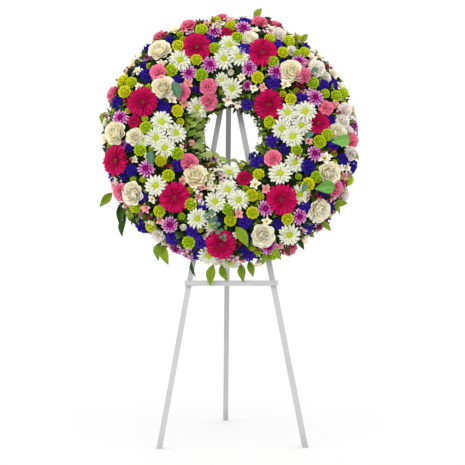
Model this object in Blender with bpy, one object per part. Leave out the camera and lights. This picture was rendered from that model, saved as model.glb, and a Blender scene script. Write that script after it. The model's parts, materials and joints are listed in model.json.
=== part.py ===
"""Funeral wreath hung on a folding three-legged wooden easel.

World frame: metres, +Z up, the viewer looks along +Y. The origin is on the floor, under the middle of
the whole object. Two front legs and a crossbar make a flat frame that leans back. A third leg is hinged
behind its head. The wreath hangs on a screw at the head and leans on the front legs: a foam ring on a
stiff backing, clad with foliage, with the flower stems pushed through the foliage into the foam.
"""

import math

import bmesh
import bpy
from mathutils import Euler, Matrix, Vector

# Clearance between pieces that touch.
GAP = 0.0003

# The easel. Places along the front frame are measured up its slope from the floor.
LEG = 0.017
LEAN = math.radians(11.0)
FRONT_FEET_APART = 0.454
REAR_FOOT_BEHIND = 0.567
FOOT_LINE_Y = -0.279
APEX_UP = 1.257
LEGS_TOP_UP = 1.269
SPLAY = math.atan(FRONT_FEET_APART / 2 / APEX_UP)

UNCUT_LEG = 1.40
UNCUT_ABOVE_APEX = 0.05

CROSSBAR_UP = 0.5155
CROSSBAR_SIZE = (0.297, 0.012, 0.016)

HEAD_SIZE = (0.052, 0.018, 0.123)
HEAD_BOTTOM_UP = 1.145
HEAD_SCREWS_UP = (1.158, 1.190)
HEAD_SCREW_LONG = 0.030
CROSSBAR_SCREW_LONG = 0.024

# The butt hinge between the head and the rear leg.
PIN_UP = 1.226
PIN_RADIUS = 0.0012
BARREL_BORE = PIN_RADIUS + GAP
BARREL_RADIUS = 0.0030
PIN_BEHIND_HEAD = BARREL_RADIUS + GAP
PIN_HEAD_RADIUS = 0.0019
PIN_HEAD_THICK = 0.0008
PIN_SIDES = 12
BARREL_SIDES = 16
LEAF_THICK = 0.0012
LEAF_LONG = 0.036
LEAF_WIDE = 0.0150
MIDDLE_BARREL = 0.0048
LEAF_SCREWS_DOWN = (0.014, 0.028)
LEAF_SCREW_LONG = 0.013
STUB_ABOVE_PIN = 0.034

# Screws: head radius, head thickness, shank radius. A screw hole is clear of its shank by the gap.
SCREW_SIDES = 8
WOOD_SCREW = (0.0032, 0.0012, 0.0015)
LEAF_SCREW = (0.0026, 0.0010, 0.0012)
HANGING_SCREW = (0.0060, 0.0030, 0.0022)
HANGING_SCREW_UP = 1.247
HANGING_SCREW_NECK = 0.0092
HANGING_SCREW_DEEP = 0.012

# The wreath. Its own frame lies in the back of the ring: X right, Y up the ring, Z out of its face.
RING_RADIUS = 0.243
FOAM_HALF_WIDE = 0.078
BACKING_THICK = 0.012
FOAM_FRONT = 0.060
FOAM_EDGE = 0.008
BED_HALF_WIDE = 0.143
BED_CENTRE = 0.030
BED_HIGH = 0.075
BED_LOWEST_ANGLE = -20.0
BED_FACETS = 9
RING_STEPS = 32
CLUMPS = 8
FIRST_CLUMP_AT = 28.5
CLUMP_SEAM = 0.2
WREATH_UP = 0.982
LEANS_AT = -0.305

# The wire loop that hangs the wreath.
WIRE_RADIUS = 0.0012
WIRE_ENDS_APART = 0.060
WIRE_ENDS_UP = 0.222
WIRE_IN_BACKING = 0.008
WIRE_BEND = (40, 65, 90)

# Turns: a screw driven in from the front or from the back, and a turned solid laid along X.
FORWARD = (math.radians(90), 0, 0)
BACKWARD = (math.radians(-90), 0, 0)
ALONG_X = (0, math.radians(90), 0)

# Stems.
STEM_RADIUS = 0.0024
STEM_DEEP = 0.070
STEM_POINT = 0.006
STEM_SOCKET = STEM_RADIUS + 0.0005
SOCKET_SPARE = 0.001
SOCKET_MOUTH = 0.020
SOCKET_SIDES = 6
COLLAR = 0.003

# Each kind of head: the facets round it, how deep its rim is notched, and its outline from the collar
# up, as (radius, height) above the foliage in millimetres. The notched rings are those at the rim.
HEADS = {
    "gerbera": (14, 0.10, (46, 49), [(9, 4), (13, 9), (46, 17), (49, 19), (17, 15.5), (14, 18), (0, 19)]),
    "rose": (10, 0.0, (), [(8, 5), (22, 12), (34, 26), (32, 38), (20, 46), (0, 44)]),
    "carnation": (12, 0.08, (28,), [(6, 4), (8, 16), (28, 26), (24, 36), (13, 42), (0, 43)]),
    "white_daisy": (12, 0.12, (33, 34), [(7, 5), (33, 12), (34, 15), (14, 14), (12, 18), (0, 21)]),
    "green_button": (10, 0.0, (), [(10, 5), (22, 14), (20, 26), (11, 34), (0, 36)]),
}

# Where the large heads are: centimetres to the right of and above the middle of the ring, on its face.
PLACES = {
    "gerbera": [
        (-11.0, 27.8), (9.8, 26.0), (12.3, 9.6), (-28.0, 9.7),
        (-35.6, -8.3), (-18.0, -20.8), (15.3, -21.5), (-3.5, -34.8),
    ],
    "rose": [
        (-22.4, 26.9), (-21.5, 14.5), (-35.8, 0.3), (-11.5, -14.5), (-30.4, -18.8),
        (9.4, -32.4), (19.1, 19.8), (30.2, -12.7), (26.9, -23.9),
    ],
    "carnation": [(13.6, -8.6), (9.1, 36.5), (-13.0, 35.0), (37.0, -1.5), (-36.0, 13.5)],
    "white_daisy": [(-2.3, 24.0), (-11.4, 8.8), (-22.2, 3.2), (19.8, -1.3), (-1.4, -18.7)],
    "green_button": [(6.3, -25.8), (8.5, 18.1), (35.1, 14.0)],
}

# Each finish: base colour, roughness, metallic.
FINISHES = {
    "white_paint": ((0.80, 0.80, 0.80), 0.45, 0.0),
    "zinc_steel": ((0.55, 0.56, 0.58), 0.35, 1.0),
    "backing_board": ((0.10, 0.16, 0.10), 0.60, 0.0),
    "floral_foam": ((0.06, 0.20, 0.09), 0.95, 0.0),
    "foliage": ((0.05, 0.14, 0.03), 0.65, 0.0),
    "gerbera": ((0.70, 0.01, 0.12), 0.55, 0.0),
    "rose": ((0.86, 0.80, 0.60), 0.55, 0.0),
    "carnation": ((0.86, 0.24, 0.30), 0.60, 0.0),
    "white_daisy": ((0.88, 0.88, 0.82), 0.55, 0.0),
    "green_button": ((0.42, 0.62, 0.05), 0.60, 0.0),
}


def clear_scene():
    for obj in list(bpy.data.objects):
        bpy.data.objects.remove(obj, do_unlink=True)


def finish(name):
    material = bpy.data.materials.get(name)
    if material:
        return material
    colour, roughness, metallic = FINISHES[name]
    material = bpy.data.materials.new(name)
    material.use_nodes = True
    shader = material.node_tree.nodes["Principled BSDF"]
    shader.inputs["Base Color"].default_value = (*colour, 1.0)
    shader.inputs["Roughness"].default_value = roughness
    shader.inputs["Metallic"].default_value = metallic
    return material


def empty(name, at, turn, parent=None):
    obj = bpy.data.objects.new(name, None)
    bpy.context.scene.collection.objects.link(obj)
    obj.parent = parent
    obj.location = at
    obj.rotation_euler = turn
    return obj


def piece(name, bm, finish_name, parent, at=(0, 0, 0), turn=(0, 0, 0)):
    """Makes one named sub-part of a bmesh, placed in its parent's frame."""
    bmesh.ops.recalc_face_normals(bm, faces=bm.faces[:])
    mesh = bpy.data.meshes.new(name)
    bm.to_mesh(mesh)
    bm.free()
    mesh.materials.append(finish(finish_name))
    obj = bpy.data.objects.new(name, mesh)
    bpy.context.scene.collection.objects.link(obj)
    obj.parent = parent
    obj.location = at
    obj.rotation_euler = turn
    return obj


def helper(name, bm, parent, at=(0, 0, 0), turn=(0, 0, 0)):
    """A solid that only joins or cuts another, and isn't part of the model."""
    obj = piece(name, bm, "zinc_steel", parent, at, turn)
    obj.hide_render = True
    obj.display_type = "WIRE"
    return obj


def cut_away(obj, cutter, name):
    """Subtracts a helper from the object."""
    boolean = obj.modifiers.new(name, "BOOLEAN")
    boolean.operation = "DIFFERENCE"
    boolean.solver = "EXACT"
    boolean.object = cutter


def block(size, middle=(0, 0, 0)):
    """A box of this size about its middle."""
    bm = bmesh.new()
    place = Matrix.Translation(middle) @ Matrix.Diagonal((*size, 1))
    bmesh.ops.create_cube(bm, size=1, matrix=place)
    return bm


def trim(obj, point, normal):
    """Cuts away what lies past a plane of the world, and closes the cut with a face."""
    bpy.context.view_layer.update()
    to_own = obj.matrix_world.inverted()
    bm = bmesh.new()
    bm.from_mesh(obj.data)
    cut = bmesh.ops.bisect_plane(
        bm,
        geom=bm.verts[:] + bm.edges[:] + bm.faces[:],
        plane_co=to_own @ Vector(point),
        plane_no=to_own.to_3x3() @ Vector(normal),
        clear_outer=True,
    )
    rim = [part for part in cut["geom_cut"] if isinstance(part, bmesh.types.BMEdge)]
    bmesh.ops.contextual_create(bm, geom=rim)
    bmesh.ops.recalc_face_normals(bm, faces=bm.faces[:])
    bm.to_mesh(obj.data)
    bm.free()


def turned(outline, sides, notch=0.0, notched=()):
    """A solid turned about Z from (radius, height) points.

    Every other point of a notched ring is drawn in, as between two petals.
    """
    bm = bmesh.new()
    rings = []
    for radius, height in outline:
        if radius == 0:
            rings.append([bm.verts.new((0, 0, height))])
            continue
        ring = []
        for side in range(sides):
            reach = radius * (1 - notch) if radius in notched and side % 2 else radius
            angle = 2 * math.pi * side / sides
            ring.append(bm.verts.new((reach * math.cos(angle), reach * math.sin(angle), height)))
        rings.append(ring)
    for low, high in zip(rings, rings[1:]):
        for side in range(sides):
            after = (side + 1) % sides
            if len(high) == 1:
                bm.faces.new((low[side], low[after], high[0]))
            else:
                bm.faces.new((low[side], low[after], high[after], high[side]))
    for end in (rings[0], rings[-1]):
        if len(end) > 1:
            bm.faces.new(end)
    return bm


def swept_ring(section, start, sweep, steps):
    """A section of (distance from the axis, height) points, carried round Z.

    A full turn closes on itself, and a shorter one has flat ends.
    """
    bm = bmesh.new()
    whole = sweep == 360
    slices = []
    for step in range(steps if whole else steps + 1):
        angle = math.radians(start + sweep * step / steps)
        slices.append(
            [bm.verts.new((r * math.cos(angle), r * math.sin(angle), z)) for r, z in section]
        )
    pairs = list(zip(slices, slices[1:]))
    if whole:
        pairs.append((slices[-1], slices[0]))
    else:
        bm.faces.new(slices[0])
        bm.faces.new(slices[-1])
    corners = len(section)
    for here, there in pairs:
        for corner in range(corners):
            after = (corner + 1) % corners
            bm.faces.new((here[corner], here[after], there[after], there[corner]))
    return bm


def screw(name, kind, length, parent, at, turn):
    """A screw with its head above Z=0 and its shank below. Its head is clear of the face at Z=0."""
    head, thick, shank = kind
    outline = [
        (shank * 0.4, -length),
        (shank, -length + 2 * shank),
        (shank, GAP),
        (head, GAP),
        (head, GAP + thick * 0.6),
        (head * 0.7, GAP + thick),
    ]
    return piece(name, turned(outline, SCREW_SIDES), "zinc_steel", parent, at, turn)


def screw_hole(targets, name, kind, length, parent, at, turn):
    """Bores the clearance hole of a screw in each target."""
    radius = kind[2] + GAP
    bore = turned([(radius, -length - GAP), (radius, 2 * radius)], SCREW_SIDES)
    cutter = helper(f"{name}_hole", bore, parent, at, turn)
    for target in targets:
        cut_away(target, cutter, cutter.name)


def leg_inset(up):
    """How far a front leg's centre line is from the middle, this far up the slope."""
    return (APEX_UP - up) * math.tan(SPLAY)


def build_front_frame():
    """The two splayed legs with their mitred tops, the crossbar and the head block."""
    frame = empty("front_frame", (0, FOOT_LINE_Y, 0), (-LEAN, 0, 0))
    legs = {}
    for side, word in ((-1, "left"), (1, "right")):
        leg = piece(
            f"front_leg_{word}",
            block((LEG, LEG, UNCUT_LEG), (0, 0, UNCUT_ABOVE_APEX - UNCUT_LEG / 2)),
            "white_paint",
            frame,
            (0, 0, APEX_UP),
            (0, -side * SPLAY, 0),
        )
        trim(leg, (0, 0, 0), (0, 0, -1))
        trim(leg, frame_point(0, 0, LEGS_TOP_UP), frame_direction(0, 0, 1))
        trim(leg, (side * GAP / 2, 0, 0), (-side, 0, 0))
        legs[word] = leg
    front = -LEG / 2 - GAP - CROSSBAR_SIZE[1] / 2
    crossbar = piece("crossbar", block(CROSSBAR_SIZE), "white_paint", frame, (0, front, CROSSBAR_UP))
    back = LEG / 2 + GAP + HEAD_SIZE[1] / 2
    middle = HEAD_BOTTOM_UP + HEAD_SIZE[2] / 2
    head = piece("head_block", block(HEAD_SIZE), "white_paint", frame, (0, back, middle))
    return frame, legs, crossbar, head


def frame_direction(x, y, z):
    """A direction of the leaning front frame, in the world."""
    return Euler((-LEAN, 0, 0)).to_matrix() @ Vector((x, y, z))


def frame_point(x, y, z):
    """A point of the leaning front frame, in the world."""
    return Vector((0, FOOT_LINE_Y, 0)) + frame_direction(x, y, z)


def fasten_front_frame(frame, legs, crossbar, head):
    """Two screws hold the crossbar, four hold the head block, and one carries the wreath."""
    for side, word in ((-1, "left"), (1, "right")):
        face = -LEG / 2 - GAP - CROSSBAR_SIZE[1]
        at = (side * leg_inset(CROSSBAR_UP), face, CROSSBAR_UP)
        name = f"crossbar_screw_{word}"
        screw(name, WOOD_SCREW, CROSSBAR_SCREW_LONG, frame, at, FORWARD)
        screw_hole([crossbar, legs[word]], name, WOOD_SCREW, CROSSBAR_SCREW_LONG, frame, at, FORWARD)
        for row, up in enumerate(HEAD_SCREWS_UP, 1):
            at = (side * leg_inset(up), LEG / 2 + GAP + HEAD_SIZE[1], up)
            name = f"head_screw_{word}_{row}"
            screw(name, WOOD_SCREW, HEAD_SCREW_LONG, frame, at, BACKWARD)
            screw_hole([head, legs[word]], name, WOOD_SCREW, HEAD_SCREW_LONG, frame, at, BACKWARD)
    at = (0, -LEG / 2 - HANGING_SCREW_NECK, HANGING_SCREW_UP)
    length = HANGING_SCREW_NECK + LEG + GAP + HANGING_SCREW_DEEP
    screw("hanging_screw", HANGING_SCREW, length, frame, at, FORWARD)
    targets = [legs["left"], legs["right"], head]
    screw_hole(targets, "hanging_screw", HANGING_SCREW, length, frame, at, FORWARD)


def hinge_leaf(name, parent, barrels, spaces, plate_at):
    """One leaf: a plate below the pin, joined to its barrels, cut away where the other leaf's barrels are.

    The parent has the pin along its X axis. The barrels and spaces are (start, end) along the pin, and
    plate_at is the plate's middle along Y.
    """
    plate = block((LEAF_WIDE, LEAF_THICK, LEAF_LONG), (0, plate_at, -LEAF_LONG / 2 - GAP))
    leaf = piece(name, plate, "zinc_steel", parent)
    for number, (start, end) in enumerate(barrels, 1):
        tube = turned([(BARREL_RADIUS, start), (BARREL_RADIUS, end)], BARREL_SIDES)
        barrel = helper(f"{name}_barrel_{number}", tube, parent, turn=ALONG_X)
        union = leaf.modifiers.new(barrel.name, "BOOLEAN")
        union.operation = "UNION"
        union.solver = "EXACT"
        union.object = barrel
    around = 2 * (BARREL_RADIUS + 2 * GAP)
    for number, (start, end) in enumerate(spaces, 1):
        room = block((end - start, 2 * around, around), ((start + end) / 2, 0, 0))
        cut_away(leaf, helper(f"{name}_space_{number}", room, parent), f"space_{number}")
    bore = turned([(BARREL_BORE, -LEAF_WIDE), (BARREL_BORE, LEAF_WIDE)], PIN_SIDES)
    cut_away(leaf, helper(f"{name}_bore", bore, parent, turn=ALONG_X), "bore")
    return leaf


def fasten_leaf(name, leaf, wood, parent, face, turn):
    """Two screws through a leaf into the wood behind it."""
    for row, down in enumerate(LEAF_SCREWS_DOWN, 1):
        at = (0, face, -down)
        screw(f"{name}_{row}", LEAF_SCREW, LEAF_SCREW_LONG, parent, at, turn)
        screw_hole([leaf, wood], f"{name}_{row}", LEAF_SCREW, LEAF_SCREW_LONG, parent, at, turn)


def build_hinge(frame, head):
    """The fixed leaf on the head's back, and the pin. Returns the pin's place in the front frame."""
    back = LEG / 2 + GAP + HEAD_SIZE[1]
    pin_at = (0, back + PIN_BEHIND_HEAD, PIN_UP)
    hinge = empty("hinge_frame", pin_at, (0, 0, 0), frame)
    half = LEAF_WIDE / 2
    middle = MIDDLE_BARREL / 2 + GAP
    barrels = [(-half, -middle), (middle, half)]
    spaces = [(-middle, middle)]
    fixed = hinge_leaf("hinge_leaf_fixed", hinge, barrels, spaces, LEAF_THICK / 2 - BARREL_RADIUS)
    fasten_leaf("hinge_screw_fixed", fixed, head, hinge, LEAF_THICK - BARREL_RADIUS, BACKWARD)
    end = half + GAP
    half_pin = [(PIN_RADIUS, end), (PIN_HEAD_RADIUS, end)]
    half_pin += [(PIN_HEAD_RADIUS, end + PIN_HEAD_THICK / 2), (PIN_RADIUS, end + PIN_HEAD_THICK)]
    outline = [(radius, -along) for radius, along in reversed(half_pin)] + half_pin
    piece("hinge_pin", turned(outline, PIN_SIDES), "zinc_steel", hinge, turn=ALONG_X)
    return pin_at


def build_rear_leg(pin_at):
    """The rear leg, on a pivot at the pin. Its top is cut so that it stops against the head when open."""
    pin = frame_point(*pin_at)
    foot = Vector((0, FOOT_LINE_Y + REAR_FOOT_BEHIND, 0))
    line_behind_pin = BARREL_RADIUS + GAP + LEG / 2
    run = foot - pin
    lean = math.atan2(run.y, -run.z) - math.asin(line_behind_pin / run.length)
    pivot = empty("rear_leg_pivot", pin, (lean, 0, 0))
    middle = STUB_ABOVE_PIN - UNCUT_LEG / 2
    leg = piece("rear_leg", block((LEG, LEG, UNCUT_LEG)), "white_paint", pivot, (0, line_behind_pin, middle))
    trim(leg, (0, 0, 0), (0, 0, -1))
    stop_face = frame_point(0, LEG / 2 + GAP + HEAD_SIZE[1] + GAP, PIN_UP)
    trim(leg, stop_face, frame_direction(0, -1, 0))
    half = MIDDLE_BARREL / 2
    side = half + GAP
    spaces = [(-LEAF_WIDE, -side), (side, LEAF_WIDE)]
    moving = hinge_leaf("hinge_leaf_moving", pivot, [(-half, half)], spaces, BARREL_RADIUS - LEAF_THICK / 2)
    fasten_leaf("hinge_screw_moving", moving, leg, pivot, BARREL_RADIUS - LEAF_THICK, FORWARD)


def wreath_frame(frame):
    """The wreath touches the legs low down, and stands off them at the top by the hanging screw."""
    stand_off = HANGING_SCREW_NECK + HANGING_SCREW[1] + 2 * GAP
    rise = HANGING_SCREW_UP + HANGING_SCREW[0] - (WREATH_UP + LEANS_AT)
    tilt = math.atan(stand_off / rise)
    forward = -LEG / 2 - GAP + LEANS_AT * math.tan(tilt)
    return empty("wreath", (0, forward, WREATH_UP), (math.radians(90) + tilt, 0, 0), frame)


def build_ring(wreath):
    """The stiff backing and the foam ring on it."""
    inner = RING_RADIUS - FOAM_HALF_WIDE
    outer = RING_RADIUS + FOAM_HALF_WIDE
    backing_section = [(inner, 0), (outer, 0), (outer, BACKING_THICK), (inner, BACKING_THICK)]
    ring = swept_ring(backing_section, FIRST_CLUMP_AT, 360, RING_STEPS)
    backing = piece("backing_ring", ring, "backing_board", wreath)
    low = BACKING_THICK + GAP
    foam_section = [
        (inner, low),
        (outer, low),
        (outer, FOAM_FRONT - FOAM_EDGE),
        (outer - FOAM_EDGE, FOAM_FRONT),
        (inner + FOAM_EDGE, FOAM_FRONT),
        (inner, FOAM_FRONT - FOAM_EDGE),
    ]
    ring = swept_ring(foam_section, FIRST_CLUMP_AT, 360, RING_STEPS)
    foam = piece("foam_ring", ring, "floral_foam", wreath)
    return backing, foam


def bed_point(angle):
    """The foliage's surface in the ring's section: distance from the axis and height, at this angle."""
    return (
        RING_RADIUS + BED_HALF_WIDE * math.cos(angle),
        BED_CENTRE + BED_HIGH * math.sin(angle),
    )


def build_foliage(wreath):
    """Clumps of leaves, each a length of a domed shell that wraps the foam and the backing."""
    sweep = 180 - 2 * BED_LOWEST_ANGLE
    section = []
    for facet in range(BED_FACETS + 1):
        section.append(bed_point(math.radians(BED_LOWEST_ANGLE + sweep * facet / BED_FACETS)))
    low = section[0][1]
    inner = RING_RADIUS - FOAM_HALF_WIDE - GAP
    outer = RING_RADIUS + FOAM_HALF_WIDE + GAP
    roof = FOAM_FRONT + GAP
    section += [(inner, low), (inner, roof), (outer, roof), (outer, low)]
    span = 360 / CLUMPS
    clumps = []
    for number in range(CLUMPS):
        start = FIRST_CLUMP_AT + number * span + CLUMP_SEAM / 2
        bm = swept_ring(section, start, span - CLUMP_SEAM, RING_STEPS // CLUMPS)
        clumps.append(piece(f"foliage_clump_{number + 1}", bm, "foliage", wreath))
    return clumps


def flower_seat(right_cm, up_cm):
    """The place of a flower on the foliage, its turn, and its angle round the ring in degrees."""
    across = math.hypot(right_cm, up_cm) / 100
    around = math.atan2(up_cm, right_cm)
    reach = max(-1.0, min(1.0, (across - RING_RADIUS) / BED_HALF_WIDE))
    angle = math.acos(reach)
    radius, height = bed_point(angle)
    facing = math.atan2(math.sin(angle) / BED_HIGH, math.cos(angle) / BED_HALF_WIDE)
    at = (radius * math.cos(around), radius * math.sin(around), height)
    return at, (0, math.pi / 2 - facing, around), math.degrees(around)


def stem_cutter(name, seats, wreath):
    """The sockets of several stems, as one cutter."""
    whole = bmesh.new()
    for at, turn in seats:
        rod = turned([(STEM_SOCKET, -STEM_DEEP - SOCKET_SPARE), (STEM_SOCKET, SOCKET_MOUTH)], SOCKET_SIDES)
        mesh = bpy.data.meshes.new(name)
        rod.transform(Matrix.Translation(at) @ Euler(turn).to_matrix().to_4x4())
        rod.to_mesh(mesh)
        rod.free()
        whole.from_mesh(mesh)
        bpy.data.meshes.remove(mesh)
    return helper(name, whole, wreath)


def build_flowers(wreath, foam, clumps):
    """The large heads on their stems, each pushed through a clump into the foam."""
    seats = []
    by_clump = {}
    for kind, places in PLACES.items():
        sides, notch, notched, outline_mm = HEADS[kind]
        outline = [(STEM_RADIUS / 2, -STEM_DEEP), (STEM_RADIUS, STEM_POINT - STEM_DEEP)]
        outline.append((STEM_RADIUS, COLLAR))
        outline += [(radius / 1000, height / 1000) for radius, height in outline_mm]
        rings = [radius / 1000 for radius in notched]
        for number, place in enumerate(places, 1):
            at, turn, around = flower_seat(*place)
            bm = turned(outline, sides, notch, rings)
            piece(f"{kind}_{number}", bm, kind, wreath, at, turn)
            seats.append((at, turn))
            clump = int((around - FIRST_CLUMP_AT) % 360 // (360 / CLUMPS))
            by_clump.setdefault(clump, []).append((at, turn))
    cut_away(foam, stem_cutter("foam_sockets", seats, wreath), "stem_sockets")
    for clump, own in sorted(by_clump.items()):
        cut_away(clumps[clump], stem_cutter(f"clump_sockets_{clump + 1}", own, wreath), "stem_sockets")


def build_hanging_wire(frame, wreath, backing):
    """A wire loop. Its ends sit in the backing, and its bend lies over the neck of the hanging screw."""
    bpy.context.view_layer.update()
    to_ring = wreath.matrix_world.inverted() @ frame.matrix_world
    half = WIRE_ENDS_APART / 2
    neck = -(LEG + HANGING_SCREW_NECK) / 2
    bend = HANGING_SCREW[2] + GAP + WIRE_RADIUS
    points = [
        Vector((half, WIRE_ENDS_UP, WIRE_IN_BACKING)),
        Vector((half, WIRE_ENDS_UP, -WIRE_RADIUS)),
        Vector((half - WIRE_RADIUS / 2, WIRE_ENDS_UP + WIRE_RADIUS, -2.5 * WIRE_RADIUS)),
    ]
    for degrees in WIRE_BEND:
        angle = math.radians(degrees)
        spot = Vector((bend * math.cos(angle), neck, HANGING_SCREW_UP + bend * math.sin(angle)))
        points.append(to_ring @ spot)
    points += [Vector((-point.x, point.y, point.z)) for point in reversed(points[:-1])]
    curve = bpy.data.curves.new("hanging_wire", "CURVE")
    curve.dimensions = "3D"
    curve.bevel_depth = WIRE_RADIUS
    curve.bevel_resolution = 1
    curve.use_fill_caps = True
    line = curve.splines.new("POLY")
    line.points.add(len(points) - 1)
    for spot, point in zip(line.points, points):
        spot.co = (*point, 1.0)
    curve.materials.append(finish("zinc_steel"))
    wire = bpy.data.objects.new("hanging_wire", curve)
    bpy.context.scene.collection.objects.link(wire)
    wire.parent = wreath
    hole = WIRE_RADIUS + GAP
    for side, word in ((-1, "left"), (1, "right")):
        bore = turned([(hole, -hole), (hole, WIRE_IN_BACKING + GAP)], SCREW_SIDES)
        cutter = helper(f"wire_hole_{word}", bore, wreath, (side * half, WIRE_ENDS_UP, 0))
        cut_away(backing, cutter, cutter.name)


def main():
    clear_scene()
    frame, legs, crossbar, head = build_front_frame()
    fasten_front_frame(frame, legs, crossbar, head)
    pin_at = build_hinge(frame, head)
    build_rear_leg(pin_at)
    wreath = wreath_frame(frame)
    backing, foam = build_ring(wreath)
    clumps = build_foliage(wreath)
    build_flowers(wreath, foam, clumps)
    build_hanging_wire(frame, wreath, backing)


main()
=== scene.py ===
# %% [markdown]
# # A funeral wreath on its easel
# The wreath is a ring of wet foam that a florist fills with cut flowers until no foam shows. It hangs on
# a folding wooden easel. The easel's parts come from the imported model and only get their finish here.
# The flowers, leaves and fillers are modelled here, a few of each kind, and planted again and again.

# %% Load the frame
import json
import math
import random
from collections import namedtuple

import bmesh
import bpy
import numpy as np
from mathutils import Matrix, Vector


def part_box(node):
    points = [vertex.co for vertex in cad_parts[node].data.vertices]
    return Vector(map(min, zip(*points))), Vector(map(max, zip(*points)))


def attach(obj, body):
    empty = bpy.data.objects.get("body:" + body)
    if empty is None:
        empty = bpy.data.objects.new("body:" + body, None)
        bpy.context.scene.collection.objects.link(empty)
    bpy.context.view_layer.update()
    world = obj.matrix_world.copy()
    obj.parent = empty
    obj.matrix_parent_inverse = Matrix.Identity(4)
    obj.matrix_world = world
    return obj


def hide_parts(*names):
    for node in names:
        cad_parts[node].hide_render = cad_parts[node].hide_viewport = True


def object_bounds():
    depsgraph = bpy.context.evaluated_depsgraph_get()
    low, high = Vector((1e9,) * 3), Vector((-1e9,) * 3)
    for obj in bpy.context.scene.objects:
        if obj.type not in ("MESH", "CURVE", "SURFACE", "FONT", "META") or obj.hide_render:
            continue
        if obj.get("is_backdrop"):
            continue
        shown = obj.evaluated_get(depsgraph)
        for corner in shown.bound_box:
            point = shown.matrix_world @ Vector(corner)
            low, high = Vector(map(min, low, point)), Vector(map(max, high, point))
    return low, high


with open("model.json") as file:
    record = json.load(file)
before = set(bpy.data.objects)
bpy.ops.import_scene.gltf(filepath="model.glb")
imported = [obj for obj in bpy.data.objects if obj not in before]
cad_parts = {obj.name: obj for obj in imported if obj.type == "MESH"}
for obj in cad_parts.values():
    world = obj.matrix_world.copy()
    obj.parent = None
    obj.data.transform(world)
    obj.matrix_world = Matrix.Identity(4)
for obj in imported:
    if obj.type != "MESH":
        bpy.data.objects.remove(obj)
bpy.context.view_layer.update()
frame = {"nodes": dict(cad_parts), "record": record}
MM = 0.001
dice = random.Random(20)

# %% [markdown]
# ## Camera
# The stand is seen from a little left of straight ahead, by a level camera at about half its height. A
# long lens keeps the legs nearly parallel, as in a shop's picture. The camera's place is counted from
# the middle of the two front feet, which the record gives as mounts.

# %% The camera
IMAGE = 465
LENS = 94.6
SENSOR = 36.0
CAMERA_AWAY = 3.80
CAMERA_UP = 0.67
CAMERA_SIDE = math.radians(2.5)

mounts = {mount["name"]: Vector(mount["pos_m"]) for mount in frame["record"]["mounts"]}
feet = (mounts["front_foot_left"] + mounts["front_foot_right"]) / 2
ahead = Vector((math.sin(CAMERA_SIDE), math.cos(CAMERA_SIDE), 0))
eye = feet - ahead * CAMERA_AWAY + Vector((0, 0, CAMERA_UP))

camera_data = bpy.data.cameras.new("camera")
camera_data.lens = LENS
camera_data.sensor_width = SENSOR
camera = bpy.data.objects.new("camera", camera_data)
camera.location = eye
camera.rotation_euler = (math.radians(90), 0, -CAMERA_SIDE)
bpy.context.collection.objects.link(camera)
bpy.context.scene.camera = camera
print("camera at", [round(part, 3) for part in eye])

# %% [markdown]
# ## Light
# The light is a bright tent: an even white sky all round, so that the floor and the background stay
# white, and one large soft lamp high on the left for the shading of the petals. The picture is shown
# without a film curve, because the flowers' colours are strong and the background is pure white.

# %% The light
SKY = 1.07
KEY_WATTS = 40.0
KEY_SIZE = 1.6
KEY_FROM = Vector((-1.5, -2.6, 2.9))
KEY_AT = Vector((0, 0, 0.95))

world = bpy.data.worlds.new("white_tent")
world.use_nodes = True
world.node_tree.nodes["Background"].inputs["Color"].default_value = (1, 1, 1, 1)
world.node_tree.nodes["Background"].inputs["Strength"].default_value = SKY
bpy.context.scene.world = world
bpy.context.scene.view_settings.view_transform = "Standard"

key_data = bpy.data.lights.new("key", "AREA")
key_data.energy = KEY_WATTS
key_data.size = KEY_SIZE
key = bpy.data.objects.new("key", key_data)
key.location = KEY_FROM
key.rotation_mode = "QUATERNION"
key.rotation_quaternion = (KEY_AT - KEY_FROM).to_track_quat("-Z", "Y")
bpy.context.collection.objects.link(key)
print("key lamp", KEY_WATTS, "W")

# %% [markdown]
# ## The bed that carries the flowers
# The foliage round the foam is a ring with a domed section. Every flower stands on it and looks out
# along its normal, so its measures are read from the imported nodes: the way the ring faces from the flat
# backing, and the section from the foliage. A place on the bed is two angles, one round the ring and
# one over its section, from the outer edge across the top to the hole.

# %% Measure the ring
CLUMPS = 8
FIRST_CLUMP_AT = 28.5
BED_CENTRE = 30 * MM
BED_DEGREES = (-20, 200)
BED_FROM, BED_TO = (math.radians(end) for end in BED_DEGREES)


def corners(*names):
    """The corners of these nodes, one row each."""
    return np.array([corner.co for name in names for corner in frame["nodes"][name].data.vertices])


tray_node = frame["nodes"]["backing_ring"].data
face_out = Vector()
for face in tray_node.polygons:
    if face.normal.y < -0.9:
        face_out += face.normal * face.area
face_out.normalize()
backing = corners("backing_ring")
low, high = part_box("backing_ring")
thick = float(np.ptp(backing @ np.array(face_out)))
up_ring = face_out.cross(Vector((1, 0, 0)))
WREATH = Matrix((Vector((1, 0, 0)), up_ring, face_out)).transposed().to_4x4()
WREATH.translation = (low + high) / 2 - face_out * thick / 2
INTO_WREATH = WREATH.inverted()


def in_wreath(points):
    """These world points in the ring's own frame: its middle at the origin, facing +Z."""
    return points @ np.array(INTO_WREATH.to_3x3().transposed()) + np.array(INTO_WREATH.translation)


clump_names = [f"foliage_clump_{number}" for number in range(1, CLUMPS + 1)]
bed = in_wreath(corners(*clump_names))
bed_across = np.hypot(bed[:, 0], bed[:, 1])
RING_RADIUS = float(bed_across.max() + bed_across.min()) / 2
HALF_WIDE = float(bed_across.max() - bed_across.min()) / 2
BED_HIGH = float(bed[:, 2].max()) - BED_CENTRE
print("ring radius", round(RING_RADIUS, 4), "half width", round(HALF_WIDE, 4), "height", round(BED_HIGH, 4))

# %% Steps that place a shape
def moved(x=0.0, y=0.0, z=0.0):
    """Moves by so many mm."""
    return Matrix.Translation((x * MM, y * MM, z * MM))


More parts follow.
